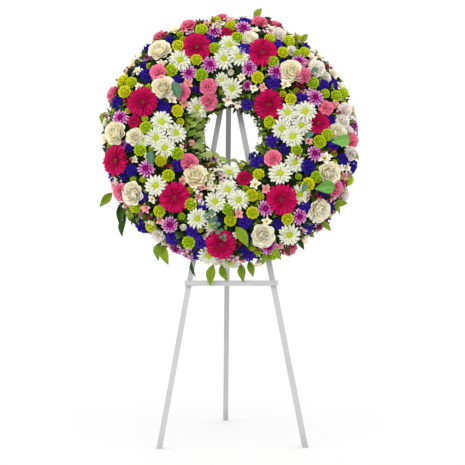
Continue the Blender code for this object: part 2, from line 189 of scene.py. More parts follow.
def spun(axis, angle):
    """Turns about an axis of the origin."""
    return Matrix.Rotation(angle, 4, axis)


def sized(size):
    """Scales about the origin."""
    return Matrix.Scale(size, 4)


# %% Places on the bed
GRID_ROUND = 1440
GRID_OVER = 160
LONGEST_STEM = 80 * MM


def seats(around, over):
    """World places and normals on the bed, for arrays of angles round the ring and over its section."""
    facing = np.arctan2(np.sin(over) / BED_HIGH, np.cos(over) / HALF_WIDE)
    across = RING_RADIUS + HALF_WIDE * np.cos(over)
    out = BED_CENTRE + BED_HIGH * np.sin(over)
    place = np.stack([across * np.cos(around), across * np.sin(around), out], -1)
    normal = np.stack([np.cos(facing) * np.cos(around), np.cos(facing) * np.sin(around), np.sin(facing)], -1)
    turn = np.array(WREATH.to_3x3().transposed())
    return place @ turn + np.array(WREATH.translation), normal @ turn


grid_around, grid_over = (part.ravel() for part in np.meshgrid(
    np.linspace(0, math.tau, GRID_ROUND, endpoint=False), np.linspace(BED_FROM, BED_TO, GRID_OVER)))
grid_places, grid_normals = seats(grid_around, grid_over)


def seen_at(points):
    """The image column and row at which the camera sees each point."""
    away = points - np.array(eye)
    depth = away @ np.array(ahead)
    focal = LENS / SENSOR * IMAGE
    across = away @ np.array((ahead.y, -ahead.x, 0))
    return IMAGE / 2 + focal * across / depth, IMAGE / 2 - focal * away[:, 2] / depth


def seat_seen_at(column, row, above):
    """The angles of the place whose flower, so far above the bed, shows at this column and row."""
    heads = grid_places + grid_normals * above
    columns, rows = seen_at(heads)
    miss = np.hypot(columns - column, rows - row)
    miss[((np.array(eye) - heads) * grid_normals).sum(1) < 0] = IMAGE
    return grid_around[miss.argmin()], grid_over[miss.argmin()]


def seat_of_node(name):
    """The angles of the place that a packed flower stands on: its stem's line passes through its mean."""
    middle = corners(name).mean(0)
    lead = middle - grid_places
    along = (lead * grid_normals).sum(1)
    miss = np.linalg.norm(lead - grid_normals * along[:, None], axis=1) + (np.abs(along) > LONGEST_STEM)
    return grid_around[miss.argmin()], grid_over[miss.argmin()]


def standing(around, over, above=0.0, spin=0.0, size=1.0, tip=(0.0, 0.0), forward=0.0):
    """The matrix that stands a shape modelled about +Z on the bed, spun, scaled and tipped a little."""
    place, normal = (Vector(part) for part in seats(around, over))
    normal = (normal + face_out * forward).normalized()
    turn = normal.to_track_quat("Z", "Y").to_matrix().to_4x4()
    lean = spun("X", tip[0]) @ spun("Y", tip[1])
    return Matrix.Translation(place + normal * above) @ turn @ lean @ spun("Z", spin) @ sized(size)


def eighth(around):
    """The number of the foliage clump at this angle round the ring."""
    return int((math.degrees(around) - FIRST_CLUMP_AT) % 360 // (360 / CLUMPS)) + 1


print("gerbera_1 stands at", [round(math.degrees(part), 1) for part in seat_of_node("gerbera_1")])

# %% [markdown]
# ## Shader maths as Python
# A finish is worked out from numbers that change over a surface. Wrapping a socket in a small class
# lets the sums be written with +, - and *, and each sum adds its Math node. Everything else, from
# noise to bump, comes from one method that takes a node's type, its settings and its inputs. The inputs
# that every finish reads have short names on top of it.


# %% The wrapped socket
class Wire:
    """A socket in a material's node tree."""

    def __init__(self, tree, socket=None):
        self.tree = tree
        self.socket = socket

    def node(self, kind, settings=None, inputs=None, output=0):
        """Adds a node with these settings and inputs, and gives one of its outputs."""
        made = self.tree.nodes.new(kind)
        for name, value in (settings or {}).items():
            if name == "stops":
                set_stops(made.color_ramp, value)
            else:
                setattr(made, name, value)
        for name, value in (inputs or {}).items():
            if isinstance(value, Wire):
                self.tree.links.new(value.socket, made.inputs[name])
            else:
                made.inputs[name].default_value = value
        return Wire(self.tree, made.outputs[output])

    def maths(self, operation, first, second=0.0):
        return self.node("ShaderNodeMath", {"operation": operation}, {0: first, 1: second})

    def __add__(self, other):
        return self.maths("ADD", self, other)

    def __sub__(self, other):
        return self.maths("SUBTRACT", self, other)

    def __mul__(self, other):
        return self.maths("MULTIPLY", self, other)

    def __rsub__(self, other):
        return self.maths("SUBTRACT", other, self)

    __radd__ = __add__
    __rmul__ = __mul__

    def mix(self, first, second):
        """The first colour where this mask is 0, the second where it is 1."""
        return self.node("ShaderNodeMix", {"data_type": "RGBA"}, {0: self, 6: first, 7: second}, output=2)

    def lit(self, amount):
        """This colour times a number."""
        return self.node("ShaderNodeVectorMath", {"operation": "SCALE"}, {"Vector": self, "Scale": amount})

    def ramp(self, *stops):
        """Colours at (place, colour) stops along this number."""
        return self.node("ShaderNodeValToRGB", {"stops": stops}, {0: self})

    def place(self):
        """Where a point lies on its object."""
        return self.node("ShaderNodeTexCoord", output="Object")

    def strip(self):
        """Where a point lies across and along the flat strip that its petal was made from."""
        flat = self.node("ShaderNodeUVMap", {"uv_map": "UVMap"})
        return [self.node("ShaderNodeSeparateXYZ", inputs={0: flat}, output=axis) for axis in "XY"]

    def number(self, label):
        """A number that a copy carries."""
        return self.node("ShaderNodeAttribute", {"attribute_name": label}, output="Fac")

    def noise(self, scale, detail):
        """Noise at this place."""
        return self.node("ShaderNodeTexNoise", inputs={"Vector": self, "Scale": scale, "Detail": detail})

    def bump(self, strength, high):
        """The normal of a surface that this height raises, in mm."""
        return self.node(
            "ShaderNodeBump", inputs={"Strength": strength, "Distance": high * MM, "Height": self})


def set_stops(ramp, stops):
    """Sets a colour ramp's stops."""
    while len(ramp.elements) < len(stops):
        ramp.elements.new(1.0)
    for element, (place, colour) in zip(ramp.elements, stops):
        element.position = place
        element.color = (*colour, 1)


def new_finish(name, **fixed):
    """A Principled material with some sockets fixed, and an empty wire in its tree to start from."""
    material = bpy.data.materials.new(name)
    material.use_nodes = True
    for socket, value in fixed.items():
        shader_input(material, socket.replace("_", " ")).default_value = value
    return material, Wire(material.node_tree)


def shader_input(material, socket):
    """A socket of a material's Principled shader."""
    return material.node_tree.nodes["Principled BSDF"].inputs[socket]


def feed(material, **wires):
    """Links wires to sockets of a material's Principled shader."""
    for socket, wire in wires.items():
        material.node_tree.links.new(wire.socket, shader_input(material, socket.replace("_", " ")))


print("shader maths ready")

# %% [markdown]
# ## Finishes of petals and leaves
# A petal is darker or greener at its base, and fine lines run along it. Each petal pattern keeps the map
# of the flat strip it was made from, so V runs along it and U across. Every copied petal also
# carries a number, tint, and every planted bloom another, so that no two have quite the same
# colour. A broad noise on Object coordinates adds the slow changes from one side of a bloom to the other.


# %% Petal and leaf finishes
PETAL_SHINE = 0.10
PATCH_SCALE = 45.0
PATCHES_SHIFT = 0.25
PETAL_TINT, BLOOM_TINT = 0.6, 0.4


def petal_finish(
        name, base, middle, tip, lines, lines_deep, uneven, roughness=0.55, other=None, lean=0.0, more=()):
    """A petal's colours from its base by its middle to its tip. Some blooms lean to another colour."""
    material, wire = new_finish(name, Roughness=roughness, Specular_IOR_Level=PETAL_SHINE)
    across, along = wire.strip()
    tint, bloom = wire.number("tint"), wire.number("bloom")
    lined = wire.maths("SINE", across * (lines * math.tau))
    patches = wire.place().noise(PATCH_SCALE, 2.0)
    colour = (along + (patches - 0.5) * PATCHES_SHIFT).ramp((0.0, base), middle, *more, (1.0, tip))
    if other:
        colour = (bloom * lean).mix(colour, (*other, 1))
    shade = 1.0 - uneven / 2 + tint * (uneven * PETAL_TINT) + bloom * (uneven * BLOOM_TINT)
    colour = colour.lit(shade * (1.0 - lines_deep + lined * lines_deep))
    feed(material, Base_Color=colour, Normal=lined.bump(0.35, 0.2))
    return material


GERBERA_PETAL = petal_finish(
    "gerbera_petal", (0.08, 0.0, 0.010), (0.35, (0.38, 0.001, 0.042)), (0.66, 0.003, 0.12), 9, 0.10, 0.30)
ROSE_PETAL = petal_finish(
    "rose_petal", (0.97, 0.88, 0.50), (0.4, (0.98, 0.94, 0.72)), (0.99, 0.96, 0.84), 6, 0.01, 0.02,
    roughness=0.5, other=(0.98, 0.86, 0.52), lean=0.45)
CARNATION_PETAL = petal_finish(
    "carnation_petal", (0.62, 0.02, 0.10), (0.6, (0.94, 0.10, 0.28)), (1.0, 0.30, 0.50), 7, 0.05, 0.2,
    other=(0.98, 0.30, 0.34), lean=0.35)
BLUSH_PETAL = petal_finish(
    "blush_petal", (0.92, 0.82, 0.46), (0.5, (0.98, 0.91, 0.78)), (0.99, 0.95, 0.89), 7, 0.02, 0.03,
    other=(0.98, 0.80, 0.78), lean=0.3)
WHITE_PETAL = petal_finish(
    "white_daisy_petal", (0.48, 0.60, 0.06), (0.35, (0.75, 0.77, 0.52)), (0.82, 0.82, 0.75), 4, 0.02, 0.08)
LILAC_PETAL = petal_finish(
    "lilac_daisy_petal", (0.18, 0.001, 0.08), (0.54, (0.40, 0.006, 0.24)), (0.88, 0.66, 0.82), 4, 0.05, 0.2,
    more=[(0.74, (0.68, 0.18, 0.54))])
BUTTON_PETAL = petal_finish(
    "green_button_petal", (0.15, 0.32, 0.002), (0.45, (0.38, 0.66, 0.006)), (0.63, 0.88, 0.03), 3, 0.04, 0.24,
    other=(0.98, 0.82, 0.015), lean=0.75)
STATICE_PETAL = petal_finish(
    "statice_petal", (0.018, 0.01, 0.14), (0.4, (0.016, 0.004, 0.26)), (0.05, 0.018, 0.50), 5, 0.10, 0.5,
    roughness=0.7, other=(0.14, 0.03, 0.50), lean=0.35)
PALE_LILY_PETAL = petal_finish(
    "pale_lily_petal", (0.62, 0.62, 0.18), (0.4, (0.94, 0.84, 0.70)), (0.97, 0.90, 0.85), 3, 0.03, 0.10,
    other=(0.92, 0.84, 0.46), lean=0.5)
PEACH_LILY_PETAL = petal_finish(
    "peach_lily_petal", (0.66, 0.42, 0.14), (0.4, (0.80, 0.30, 0.26)), (0.88, 0.50, 0.46), 3, 0.05, 0.2,
    other=(0.94, 0.42, 0.54), lean=0.5)
print("petal finishes:", [m.name for m in bpy.data.materials if m.name.endswith("_petal")])


# %% Leaf, eye and stem finishes
LEAF_SHINE = 0.25
LEAF_ROUGHNESS = 0.32
RIB_NARROWNESS = 14.0
VEINS = 9
VEINS_SLANT = 0.8


def leaf_finish(name, deep, pale, rib, waxy=0.0):
    """A leaf: two greens in slow patches, a paler rib down the middle and side veins that rise from it."""
    material, wire = new_finish(name, Specular_IOR_Level=LEAF_SHINE)
    across, along = wire.strip()
    patches = wire.place().noise(60.0, 3.0)
    off_rib = wire.maths("ABSOLUTE", across - 0.5)
    rib_line = wire.maths("MAXIMUM", 1.0 - off_rib * RIB_NARROWNESS, 0.0)
    veins = wire.maths("SINE", (along + off_rib * VEINS_SLANT) * (VEINS * math.tau))
    colour = (wire.number("tint") * 0.7 + (patches - 0.5) * 0.9).mix((*deep, 1), (*pale, 1))
    colour = (rib_line * 0.5).mix(colour, (*rib, 1)).lit(veins * 0.07 + 0.95)
    feed(material, Base_Color=colour, Normal=(veins * 0.4 - rib_line).bump(0.5, 0.3),
         Roughness=patches * 0.3 + (LEAF_ROUGHNESS + waxy))
    return material


def grainy_finish(name, deep, pale, scale, roughness=0.7, rough_by=0.3):
    """Small grains of two colours, for eyes, stems, buds and moss."""
    material, wire = new_finish(name, Roughness=roughness, Specular_IOR_Level=PETAL_SHINE)
    grain = wire.place().noise(scale, 4.0)
    colour = (grain * 0.7 + wire.number("tint") * 0.4 - 0.05).mix((*deep, 1), (*pale, 1))
    feed(material, Base_Color=colour, Normal=grain.bump(rough_by, 0.5))
    return material


DARK_LEAF = leaf_finish("dark_leaf", (0.008, 0.026, 0.006), (0.05, 0.12, 0.014), (0.10, 0.20, 0.05))
LIGHT_LEAF = leaf_finish("light_leaf", (0.12, 0.21, 0.008), (0.36, 0.47, 0.03), (0.45, 0.56, 0.10))
FERN_LEAF = leaf_finish("fern_leaf", (0.08, 0.17, 0.015), (0.28, 0.38, 0.06), (0.34, 0.44, 0.12))
PALE_LEAF = leaf_finish("pale_leaf", (0.19, 0.27, 0.05), (0.46, 0.56, 0.20), (0.56, 0.66, 0.32))
BROAD_LEAF = leaf_finish("broad_leaf", (0.11, 0.33, 0.045), (0.26, 0.52, 0.11), (0.42, 0.62, 0.25))
EUCALYPTUS_LEAF = leaf_finish(
    "eucalyptus_leaf", (0.05, 0.13, 0.075), (0.16, 0.30, 0.18), (0.24, 0.38, 0.25), waxy=0.15)
STEM_SKIN = grainy_finish("stem_skin", (0.05, 0.12, 0.01), (0.14, 0.27, 0.03), 180.0)
GERBERA_EYE = grainy_finish("gerbera_eye", (0.06, 0.002, 0.012), (0.28, 0.01, 0.05), 420.0)
ANTHER = grainy_finish("anther", (0.60, 0.42, 0.12), (0.90, 0.74, 0.42), 500.0)
DAISY_EYE = grainy_finish("daisy_eye", (0.30, 0.40, 0.006), (0.62, 0.66, 0.03), 420.0)
LILAC_EYE = grainy_finish("lilac_eye", (0.16, 0.001, 0.07), (0.42, 0.01, 0.20), 420.0)
MOSS = grainy_finish("moss", (0.006, 0.014, 0.004), (0.03, 0.06, 0.01), 90.0, roughness=0.95, rough_by=1.0)
BUD_SKIN = grainy_finish("bud_skin", (0.14, 0.003, 0.02), (0.46, 0.012, 0.075), 200.0, roughness=0.4)
BUTTON_HEART = grainy_finish("button_heart", (0.08, 0.16, 0.002), (0.30, 0.42, 0.006), 260.0)
STATICE_HEART = grainy_finish("statice_heart", (0.006, 0.003, 0.05), (0.02, 0.008, 0.14), 200.0)
PINK_WAX = grainy_finish("pink_wax_petal", (0.74, 0.28, 0.42), (0.90, 0.70, 0.74), 130.0, roughness=0.45)
WHITE_WAX = grainy_finish("white_wax_petal", (0.72, 0.70, 0.44), (0.92, 0.88, 0.72), 130.0, roughness=0.45)
print("materials so far:", len(bpy.data.materials))

# %% [markdown]
# ## Tools for modelling by hand
# These are the steps that are repeated for every shape: naming a new primitive and going into edit mode,
# picking corners by their place, leaving edit mode with nothing selected, and applying a modifier. A shape
# that will be copied is taken off its object and kept as a mesh, which is called a pattern here.


# %% Modelling tools
def rest():
    """Nothing is being edited and nothing is selected."""
    if bpy.context.object and bpy.context.object.mode == "EDIT":
        bpy.ops.object.mode_set(mode="OBJECT")
    bpy.ops.object.select_all(action="DESELECT")


def alone(made):
    """One object is active and selected, and no other."""
    rest()
    bpy.context.view_layer.objects.active = made
    made.select_set(True)


def settle():
    """Puts the selected object's place and size into its mesh."""
    bpy.ops.object.transform_apply(location=True, rotation=True, scale=True)


def shape(name, settled=False):
    """The primitive that was just added, named and in edit mode, where it is selected all over."""
    made = bpy.context.object
    made.name = name
    if settled:
        settle()
    bpy.ops.object.mode_set(mode="EDIT")
    bpy.ops.mesh.select_all(action="SELECT")
    return made


def pick(made, wanted):
    """In edit mode, selects the corners whose place is wanted, and no others."""
    edited = bmesh.from_edit_mesh(made.data)
    for corner in edited.verts:
        corner.select_set(bool(wanted(corner.co)))
    edited.select_flush_mode()
    bmesh.update_edit_mesh(made.data)


def shift(x=0.0, y=0.0, z=0.0):
    """Moves what is selected in edit mode."""
    bpy.ops.transform.translate(value=(x, y, z))


def stretch(x=1.0, y=1.0, z=1.0, about=(0, 0, 0)):
    """Scales what is selected in edit mode about a point."""
    bpy.ops.transform.resize(value=(x, y, z), center_override=about)


def apply_modifier(made, kind, **settings):
    """Adds a modifier, sets it and applies it."""
    alone(made)
    modifier = made.modifiers.new(kind, kind)
    for name, value in settings.items():
        setattr(modifier, name, value)
    bpy.ops.object.modifier_apply(modifier=modifier.name)


def mesh_of(made):
    """Takes an object's mesh off it and removes the object."""
    mesh = made.data
    bpy.data.objects.remove(made)
    return mesh


def pattern(made, finish, smooth=50):
    """Smooths a finished shape, gives it its finish, and keeps only its mesh."""
    alone(made)
    settle()
    bpy.ops.object.shade_smooth_by_angle(angle=math.radians(smooth))
    made.data.materials.clear()
    made.data.materials.append(finish)
    return mesh_of(made)


def gather(name, copies):
    """One object from a copy of each (pattern, matrix, {number: value}). Parts keep numbers they have."""
    made = []
    for source, place, numbers in copies:
        mesh = source.copy()
        mesh.transform(place)
        for label, value in numbers.items():
            if label not in mesh.attributes:
                layer = mesh.attributes.new(label, "FLOAT", "POINT")
                layer.data.foreach_set("value", np.full(len(mesh.vertices), value, np.float32))
        item = bpy.data.objects.new(name, mesh)
        bpy.context.collection.objects.link(item)
        made.append(item)
    alone(made[0])
    for item in made:
        item.select_set(True)
    if len(made) > 1:
        bpy.ops.object.join()
    return made[0]


def bunch(name, copies):
    """Copies joined into a pattern of their own, with the finishes that the parts have."""
    return mesh_of(gather(name, copies))


def several(count, make, name, *details):
    """A few patterns of one kind, each with its own random draws, so that neighbours differ."""
    return [make(f"{name}_{number}", *details) for number in range(count)]


print("modelling tools ready")

# %% [markdown]
# ## A petal
# Every ray flower is made of strips that are narrow at the base, wide further out and round or notched
# at the tip. A flat grid is the simplest start: its columns are lifted to cup it, each row is scaled to
# the petal's width there and raised to its curve, and Solidify gives it a petal's thickness. The
# same steps give a leaf, with a pointed end and a groove along the rib.


# %% The petal strip
NEAR = 0.01
IN_ROW = 0.4
NOTCH = 0.4


def strip(name, long, halves, lifts, cup=0.0, columns=2, thick=0.4, tip=0.0, ruffle=0.0):
    """A strip along +Y. Half widths, lifts, cup, tip and ruffle are parts of its length, which is in mm."""
    rest()
    rows = len(halves) - 1
    bpy.ops.mesh.primitive_grid_add(x_subdivisions=columns, y_subdivisions=rows, size=1)
    made = shape(name)
    for column in range(columns + 1):
        across = column / columns - 0.5
        edge = (2 * across) ** 2
        pick(made, lambda co: abs(co.x - across) < NEAR)
        shift(z=cup * edge)
        pick(made, lambda co: abs(co.x - across) < NEAR and co.y > 0.5 - NEAR)
        notch = ruffle * NOTCH * (column % 2)
        shift(y=tip * (1 - edge) - notch, z=ruffle * math.sin(column * math.pi / 2))
    for row, (half, lift) in enumerate(zip(halves, lifts)):
        low, high = ((row + side) / rows - 0.5 for side in (-IN_ROW, IN_ROW))
        pick(made, lambda co: low < co.y < high or (row == rows and co.y > 0.5 - IN_ROW / rows))
        stretch(x=2 * half, z=2 * half)
        shift(z=lift)
    bpy.ops.mesh.select_all(action="SELECT")
    shift(y=0.5)
    stretch(long * MM, long * MM, long * MM)
    apply_modifier(made, "SOLIDIFY", thickness=thick * MM, offset=0.0)
    return made


GERBERA_RAY = pattern(strip(
    "gerbera_ray", 41, (0.06, 0.10, 0.135, 0.15, 0.14, 0.08), (0, 0.05, 0.07, 0.07, 0.04, 0.0), 0.35,
    tip=0.03), GERBERA_PETAL)
GERBERA_SHORT_RAY = pattern(strip(
    "gerbera_short_ray", 15, (0.05, 0.10, 0.12, 0.07), (0, 0.08, 0.12, 0.10), 0.4), GERBERA_PETAL)
WHITE_RAY = pattern(strip(
    "white_ray", 27, (0.08, 0.15, 0.175, 0.165, 0.09), (0, 0.04, 0.06, 0.05, 0.02), 0.35, thick=0.3,
    tip=0.08), WHITE_PETAL)
LILAC_RAY = pattern(strip(
    "lilac_ray", 22, (0.08, 0.15, 0.18, 0.16, 0.07), (0, 0.05, 0.07, 0.06, 0.02), 0.35, thick=0.3,
    tip=0.05), LILAC_PETAL)
print("gerbera ray:", len(GERBERA_RAY.polygons), "faces")

# %% [markdown]
# ## Round parts
# The eye of a daisy, the green cup under a bloom and the stem are round, so they start as a closed drum
# whose top is extruded and scaled ring by ring. The eye is then set with tiny florets in the spiral of a
# sunflower, where each next one is turned by the golden angle.


# %% Drums and spirals
GOLDEN = math.radians(137.508)
QUARTER = math.pi / 2
OUT_OF_LINE = 0.22
RAY_SIZES = (0.93, 1.05)


def turned(name, sides, rings):
    """A closed round body about Z. Each ring is (radius, height) in mm, from the bottom up."""
    rest()
    (first, bottom), (second, top) = rings[:2]
    middle = (bottom + top) / 2 * MM
    bpy.ops.mesh.primitive_cylinder_add(
        vertices=sides, radius=first * MM, depth=(top - bottom) * MM, location=(0, 0, middle))
    made = shape(name, settled=True)
    pick(made, lambda co: co.z > middle)
    stretch(second / first, second / first)
    for (radius, height), (wide, high) in zip(rings[1:], rings[2:]):
        bpy.ops.mesh.extrude_region_move(TRANSFORM_OT_translate={"value": (0, 0, (high - height) * MM)})
        stretch(wide / radius, wide / radius)
    return made


def ring(count, radius, height, tilt, size=1.0, loose=0.06, start=0.0):
    """Places round Z for petals that stand `radius` mm off it and rise by `tilt` degrees."""
    places = []
    for number in range(count):
        around = start + math.tau * (number + dice.uniform(-OUT_OF_LINE, OUT_OF_LINE)) / count
        rise = math.radians(tilt) + dice.gauss(0, loose)
        places.append(
            spun("Z", around) @ moved(y=radius, z=height) @ spun("X", rise)
            @ spun("Y", dice.gauss(0, 2 * loose)) @ sized(size * dice.uniform(*RAY_SIZES)))
    return places


def spiral(count, wide, high, low_angle):
    """Places spread over a dome in a sunflower's spiral, their +Z pointing out of the dome, in mm."""
    places = []
    for number in range(count):
        down = math.radians(low_angle) * math.sqrt((number + 0.5) / count)
        around = number * GOLDEN
        spot = Vector((math.sin(down) * math.cos(around), math.sin(down) * math.sin(around), math.cos(down)))
        out = Vector((spot.x / wide, spot.y / wide, spot.z / high)).normalized()
        place = Vector((spot.x * wide, spot.y * wide, spot.z * high)) * MM
        places.append(Matrix.Translation(place) @ out.to_track_quat("Z", "Y").to_matrix().to_4x4())
    return places


def tinted(source, places):
    """A list for gather: this pattern at each place, each with a tint of its own."""
    return [(source, place, {"tint": dice.random()}) for place in places]


def single(source, size=1.0):
    """A list for gather: this pattern once, where it was modelled."""
    return tinted(source, [sized(size)])


def mapped(mesh, axis):
    """Gives a shape the map of a strip: V runs from its low to its high end along an axis, U across."""
    along = [corner.co[axis] for corner in mesh.vertices]
    wide = max(abs(corner.co.x) for corner in mesh.vertices)
    layer = mesh.uv_layers.get("UVMap") or mesh.uv_layers.new(name="UVMap")
    for loop, spot in zip(mesh.loops, layer.data):
        place = mesh.vertices[loop.vertex_index].co
        spot.uv = (0.5 + 0.5 * place.x / wide, (place[axis] - min(along)) / (max(along) - min(along)))
    return mesh


EYE_FLORET = pattern(turned("eye_floret", 5, [(1.05, -0.6), (1.0, 0.6), (0.5, 1.3)]), DAISY_EYE)
DARK_FLORET = pattern(turned("dark_floret", 5, [(0.7, -0.6), (0.7, 0.6), (0.35, 1.3)]), GERBERA_EYE)
ANTHER_FLORET = pattern(turned("anther_floret", 5, [(0.45, -0.6), (0.45, 1.2), (0.25, 2.0)]), ANTHER)
LILAC_FLORET = pattern(turned("lilac_floret", 5, [(0.7, -0.6), (0.7, 0.6), (0.35, 1.3)]), LILAC_EYE)
DAISY_DOME = pattern(turned("daisy_dome", 12, [(9, 14), (10.5, 15.5), (9, 18.0), (5, 19.8)]), DAISY_EYE)
GERBERA_DOME = pattern(turned("gerbera_dome", 16, [(10, 14), (11, 16), (8, 18.2), (4, 19)]), GERBERA_EYE)
LILAC_DOME = pattern(turned("lilac_dome", 12, [(6, 13), (7, 14.5), (5.5, 17.0), (3, 18.2)]), LILAC_EYE)
CUP = pattern(turned("cup", 8, [(2.4, 3), (5, 6), (8.5, 10), (8.0, 14.5)]), STEM_SKIN)
print("eye floret:", len(EYE_FLORET.polygons), "faces")

# %% [markdown]
# ## Gerbera
# A gerbera has two or three rows of long narrow rays that lie almost flat, a collar of short ones round
# the eye, a dark eye, and a ring of pale anthers in it. The rays are planted row by row, each
# a little out of line with its neighbours, because a perfect fan looks stamped.


# %% Gerbera
def stem(deep, high=4.0):
    """A stem with a tapered end, so many mm below the bed."""
    made = turned("stem", 6, [(1.2, -deep), (2.3, -deep + 6), (2.3, -deep * 0.4), (2.4, high)])
    return [(pattern(made, STEM_SKIN), Matrix(), {"tint": 0.4})]


LONG_STEM = 70.0
SHORT_STEM = 34.0
EYE_RIM = 15.0


def gerbera(name, deep):
    """A full gerbera head on its stem."""
    parts = tinted(GERBERA_RAY, ring(24, 8, 14.0, 3) + ring(22, 7.5, 15.5, 9, 0.93, start=0.15))
    parts += tinted(GERBERA_SHORT_RAY, ring(24, 8, 16.5, 24) + ring(18, 6.5, 17.5, 42, 0.8))
    parts += single(GERBERA_DOME)
    parts += tinted(DARK_FLORET, [
        place for place in spiral(60, 9.5, 19.2, 88) if place.translation.z > EYE_RIM * MM])
    parts += tinted(ANTHER_FLORET, ring(22, 5.6, 18.4, 0, loose=0.12))
    parts += single(CUP) + stem(deep)
    return bunch(name, parts)


GERBERAS = several(3, gerbera, "gerbera_pattern", LONG_STEM)
print("gerbera:", [len(mesh.polygons) for mesh in GERBERAS])

# %% [markdown]
# ## White and lilac daisies
# These are spray chrysanthemums. Their rays are shorter and cupped, and stand in three rows, the inner
# ones steeper. The white kind has a yellow-green eye, the lilac kind a magenta one that its pale tips
# surround.


# %% Daisies
def daisy(name, shapes, rows, deep, eye_wide, eye_count=34):
    """A spray daisy: rows of (count, radius, height, tilt, size), an eye, a cup and a stem."""
    ray, dome, floret = shapes
    parts = []
    for number, (count, radius, height, tilt, size) in enumerate(rows):
        parts += tinted(ray, ring(count, radius, height, tilt, size, start=number * 0.2, loose=0.08))
    parts += single(dome)
    parts += tinted(floret, [moved(z=11.0) @ place for place in spiral(eye_count, eye_wide, 8.6, 80)])
    parts += single(CUP, 0.9) + stem(deep)
    return bunch(name, parts)


WHITE_ROWS = [(16, 8, 13.0, 2, 1.02), (15, 8, 14.2, 12, 0.92), (12, 8, 15.2, 30, 0.62)]
LILAC_ROWS = [(14, 5, 12.5, 6, 1.04), (13, 5, 13.5, 18, 0.92), (10, 4.5, 14.5, 38, 0.66)]
FEW_WHITE_ROWS = [(13, 8, 13, 4, 1.0), (11, 8, 14.5, 22, 0.8)]
FEW_LILAC_ROWS = [(12, 5, 12.5, 8, 1.04), (10, 5, 14, 26, 0.8)]
WHITE_PARTS = (WHITE_RAY, DAISY_DOME, EYE_FLORET)
LILAC_PARTS = (LILAC_RAY, LILAC_DOME, LILAC_FLORET)
WHITE_DAISIES = several(3, daisy, "white_daisy_pattern", WHITE_PARTS, WHITE_ROWS, LONG_STEM, 9.4)
LILAC_DAISIES = several(3, daisy, "lilac_daisy_pattern", LILAC_PARTS, LILAC_ROWS, SHORT_STEM, 6.2)
SMALL_WHITE_DAISIES = several(
    1, daisy, "small_white_pattern", WHITE_PARTS, FEW_WHITE_ROWS, SHORT_STEM, 9.0, 12)
SMALL_LILAC_DAISIES = several(
    1, daisy, "small_lilac_pattern", LILAC_PARTS, FEW_LILAC_ROWS, SHORT_STEM, 6.0, 10)
print("white daisy:", [len(mesh.polygons) for mesh in WHITE_DAISIES + SMALL_WHITE_DAISIES])

# %% [markdown]
# ## Green buttons
# A button is a small chrysanthemum with no open eye: a ball of little florets, smaller and more upright
# at the top. One floret is a flattened four-sided drum, and the sunflower spiral spreads it over the ball.


# %% Green buttons
def button(name, deep, count=64):
    """A ball of florets on its stem: upright and dark in the middle, leaning out and paler at the rim."""
    parts = []
    for number, place in enumerate(spiral(count, 12.5, 12.5, 116)):
        share = number / count
        lean = spun("X", math.radians(56 - 26 * share + dice.gauss(0, 6)))
        set_in = moved(z=16) @ place @ spun("Z", dice.gauss(0, 0.25)) @ lean @ sized(0.88 + 0.28 * share)
        parts.append((BUTTON_FLORET, set_in, {"tint": 0.75 * share + 0.35 * dice.random()}))
    parts += single(BUTTON_CORE) + single(CUP, 0.85) + stem(deep)
    return bunch(name, parts)


def spindle(name, long, wide, flat, finish):
    """A small closed floret along +Y: four-sided, flattened, widest past its middle."""
    drum = pattern(turned(name, 4, [(0.4 * wide, 0), (wide, 0.6 * long), (0.45 * wide, long)]), finish)
    drum.transform(spun("X", -QUARTER) @ spun("Z", QUARTER / 2))
    drum.transform(Matrix.Diagonal((1, 1, flat, 1)))
    return mapped(drum, 1)


BUTTON_FLORET = spindle("button_floret", 9.5, 4.3, 0.30, BUTTON_PETAL)
BUTTON_CORE = pattern(turned(
    "button_core", 10, [(6, 6), (11.5, 9), (13, 16), (10.5, 24), (4, 27.5)]), BUTTON_HEART)
BUTTONS = several(2, button, "green_button_pattern", LONG_STEM)
SMALL_BUTTONS = several(1, button, "small_button_pattern", SHORT_STEM, 34)
print("green button:", [len(mesh.polygons) for mesh in BUTTONS])

# %% [markdown]
# ## Roses
# A rose is a tight bud round which broader and broader petals open. Each petal is a cupped shield whose
# rim rolls outwards. Standing nearly upright close to the middle, and leaning out further from it, two
# such shields, a slim and a broad one, give the whole bloom in six rows.


# %% Roses
def rose(name, deep, rows):
    """A rose: rows of (count, radius, height, tilt, size) of shields round a closed bud."""
    parts = single(ROSE_BUD)
    for number, (count, radius, height, tilt, size) in enumerate(rows):
        shield = ROSE_INNER_SHIELD if number < 3 else ROSE_SHIELD
        parts += tinted(shield, ring(count, radius, height, tilt, size, start=number * 0.7, loose=0.05))
    parts += tinted(SEPAL, ring(5, 3, 5, 12)) + single(CUP) + stem(deep)
    return bunch(name, parts)


ROSE_SHIELD = pattern(strip(
    "rose_shield", 29, (0.18, 0.40, 0.58, 0.65, 0.61, 0.42), (0, -0.10, -0.13, -0.12, -0.11, -0.16),
    0.32, columns=4, thick=0.5, tip=0.07), ROSE_PETAL)
ROSE_INNER_SHIELD = pattern(strip(
    "rose_inner_shield", 31, (0.14, 0.22, 0.27, 0.29, 0.27, 0.17), (0, -0.06, -0.08, -0.06, -0.02, -0.02),
    0.52, columns=4, thick=0.5, tip=0.07), ROSE_PETAL)
ROSE_BUD = pattern(turned(
    "rose_bud", 10, [(11, 8), (13.5, 13), (11, 19), (6.5, 25), (4, 28.5), (1.5, 30)]), ROSE_PETAL)
SEPAL = pattern(strip("sepal", 20, (0.12, 0.14, 0.08, 0.01), (0, 0.02, 0.0, -0.1), 0.3), STEM_SKIN)
ROSE_ROWS = [
    (3, 4.5, 11, 90, 0.80), (4, 7.0, 11, 84, 0.86), (5, 10.0, 10.5, 77, 0.92), (6, 12.5, 9, 62, 0.96),
    (7, 13.5, 8, 46, 0.98), (8, 13.5, 7, 30, 0.94)]
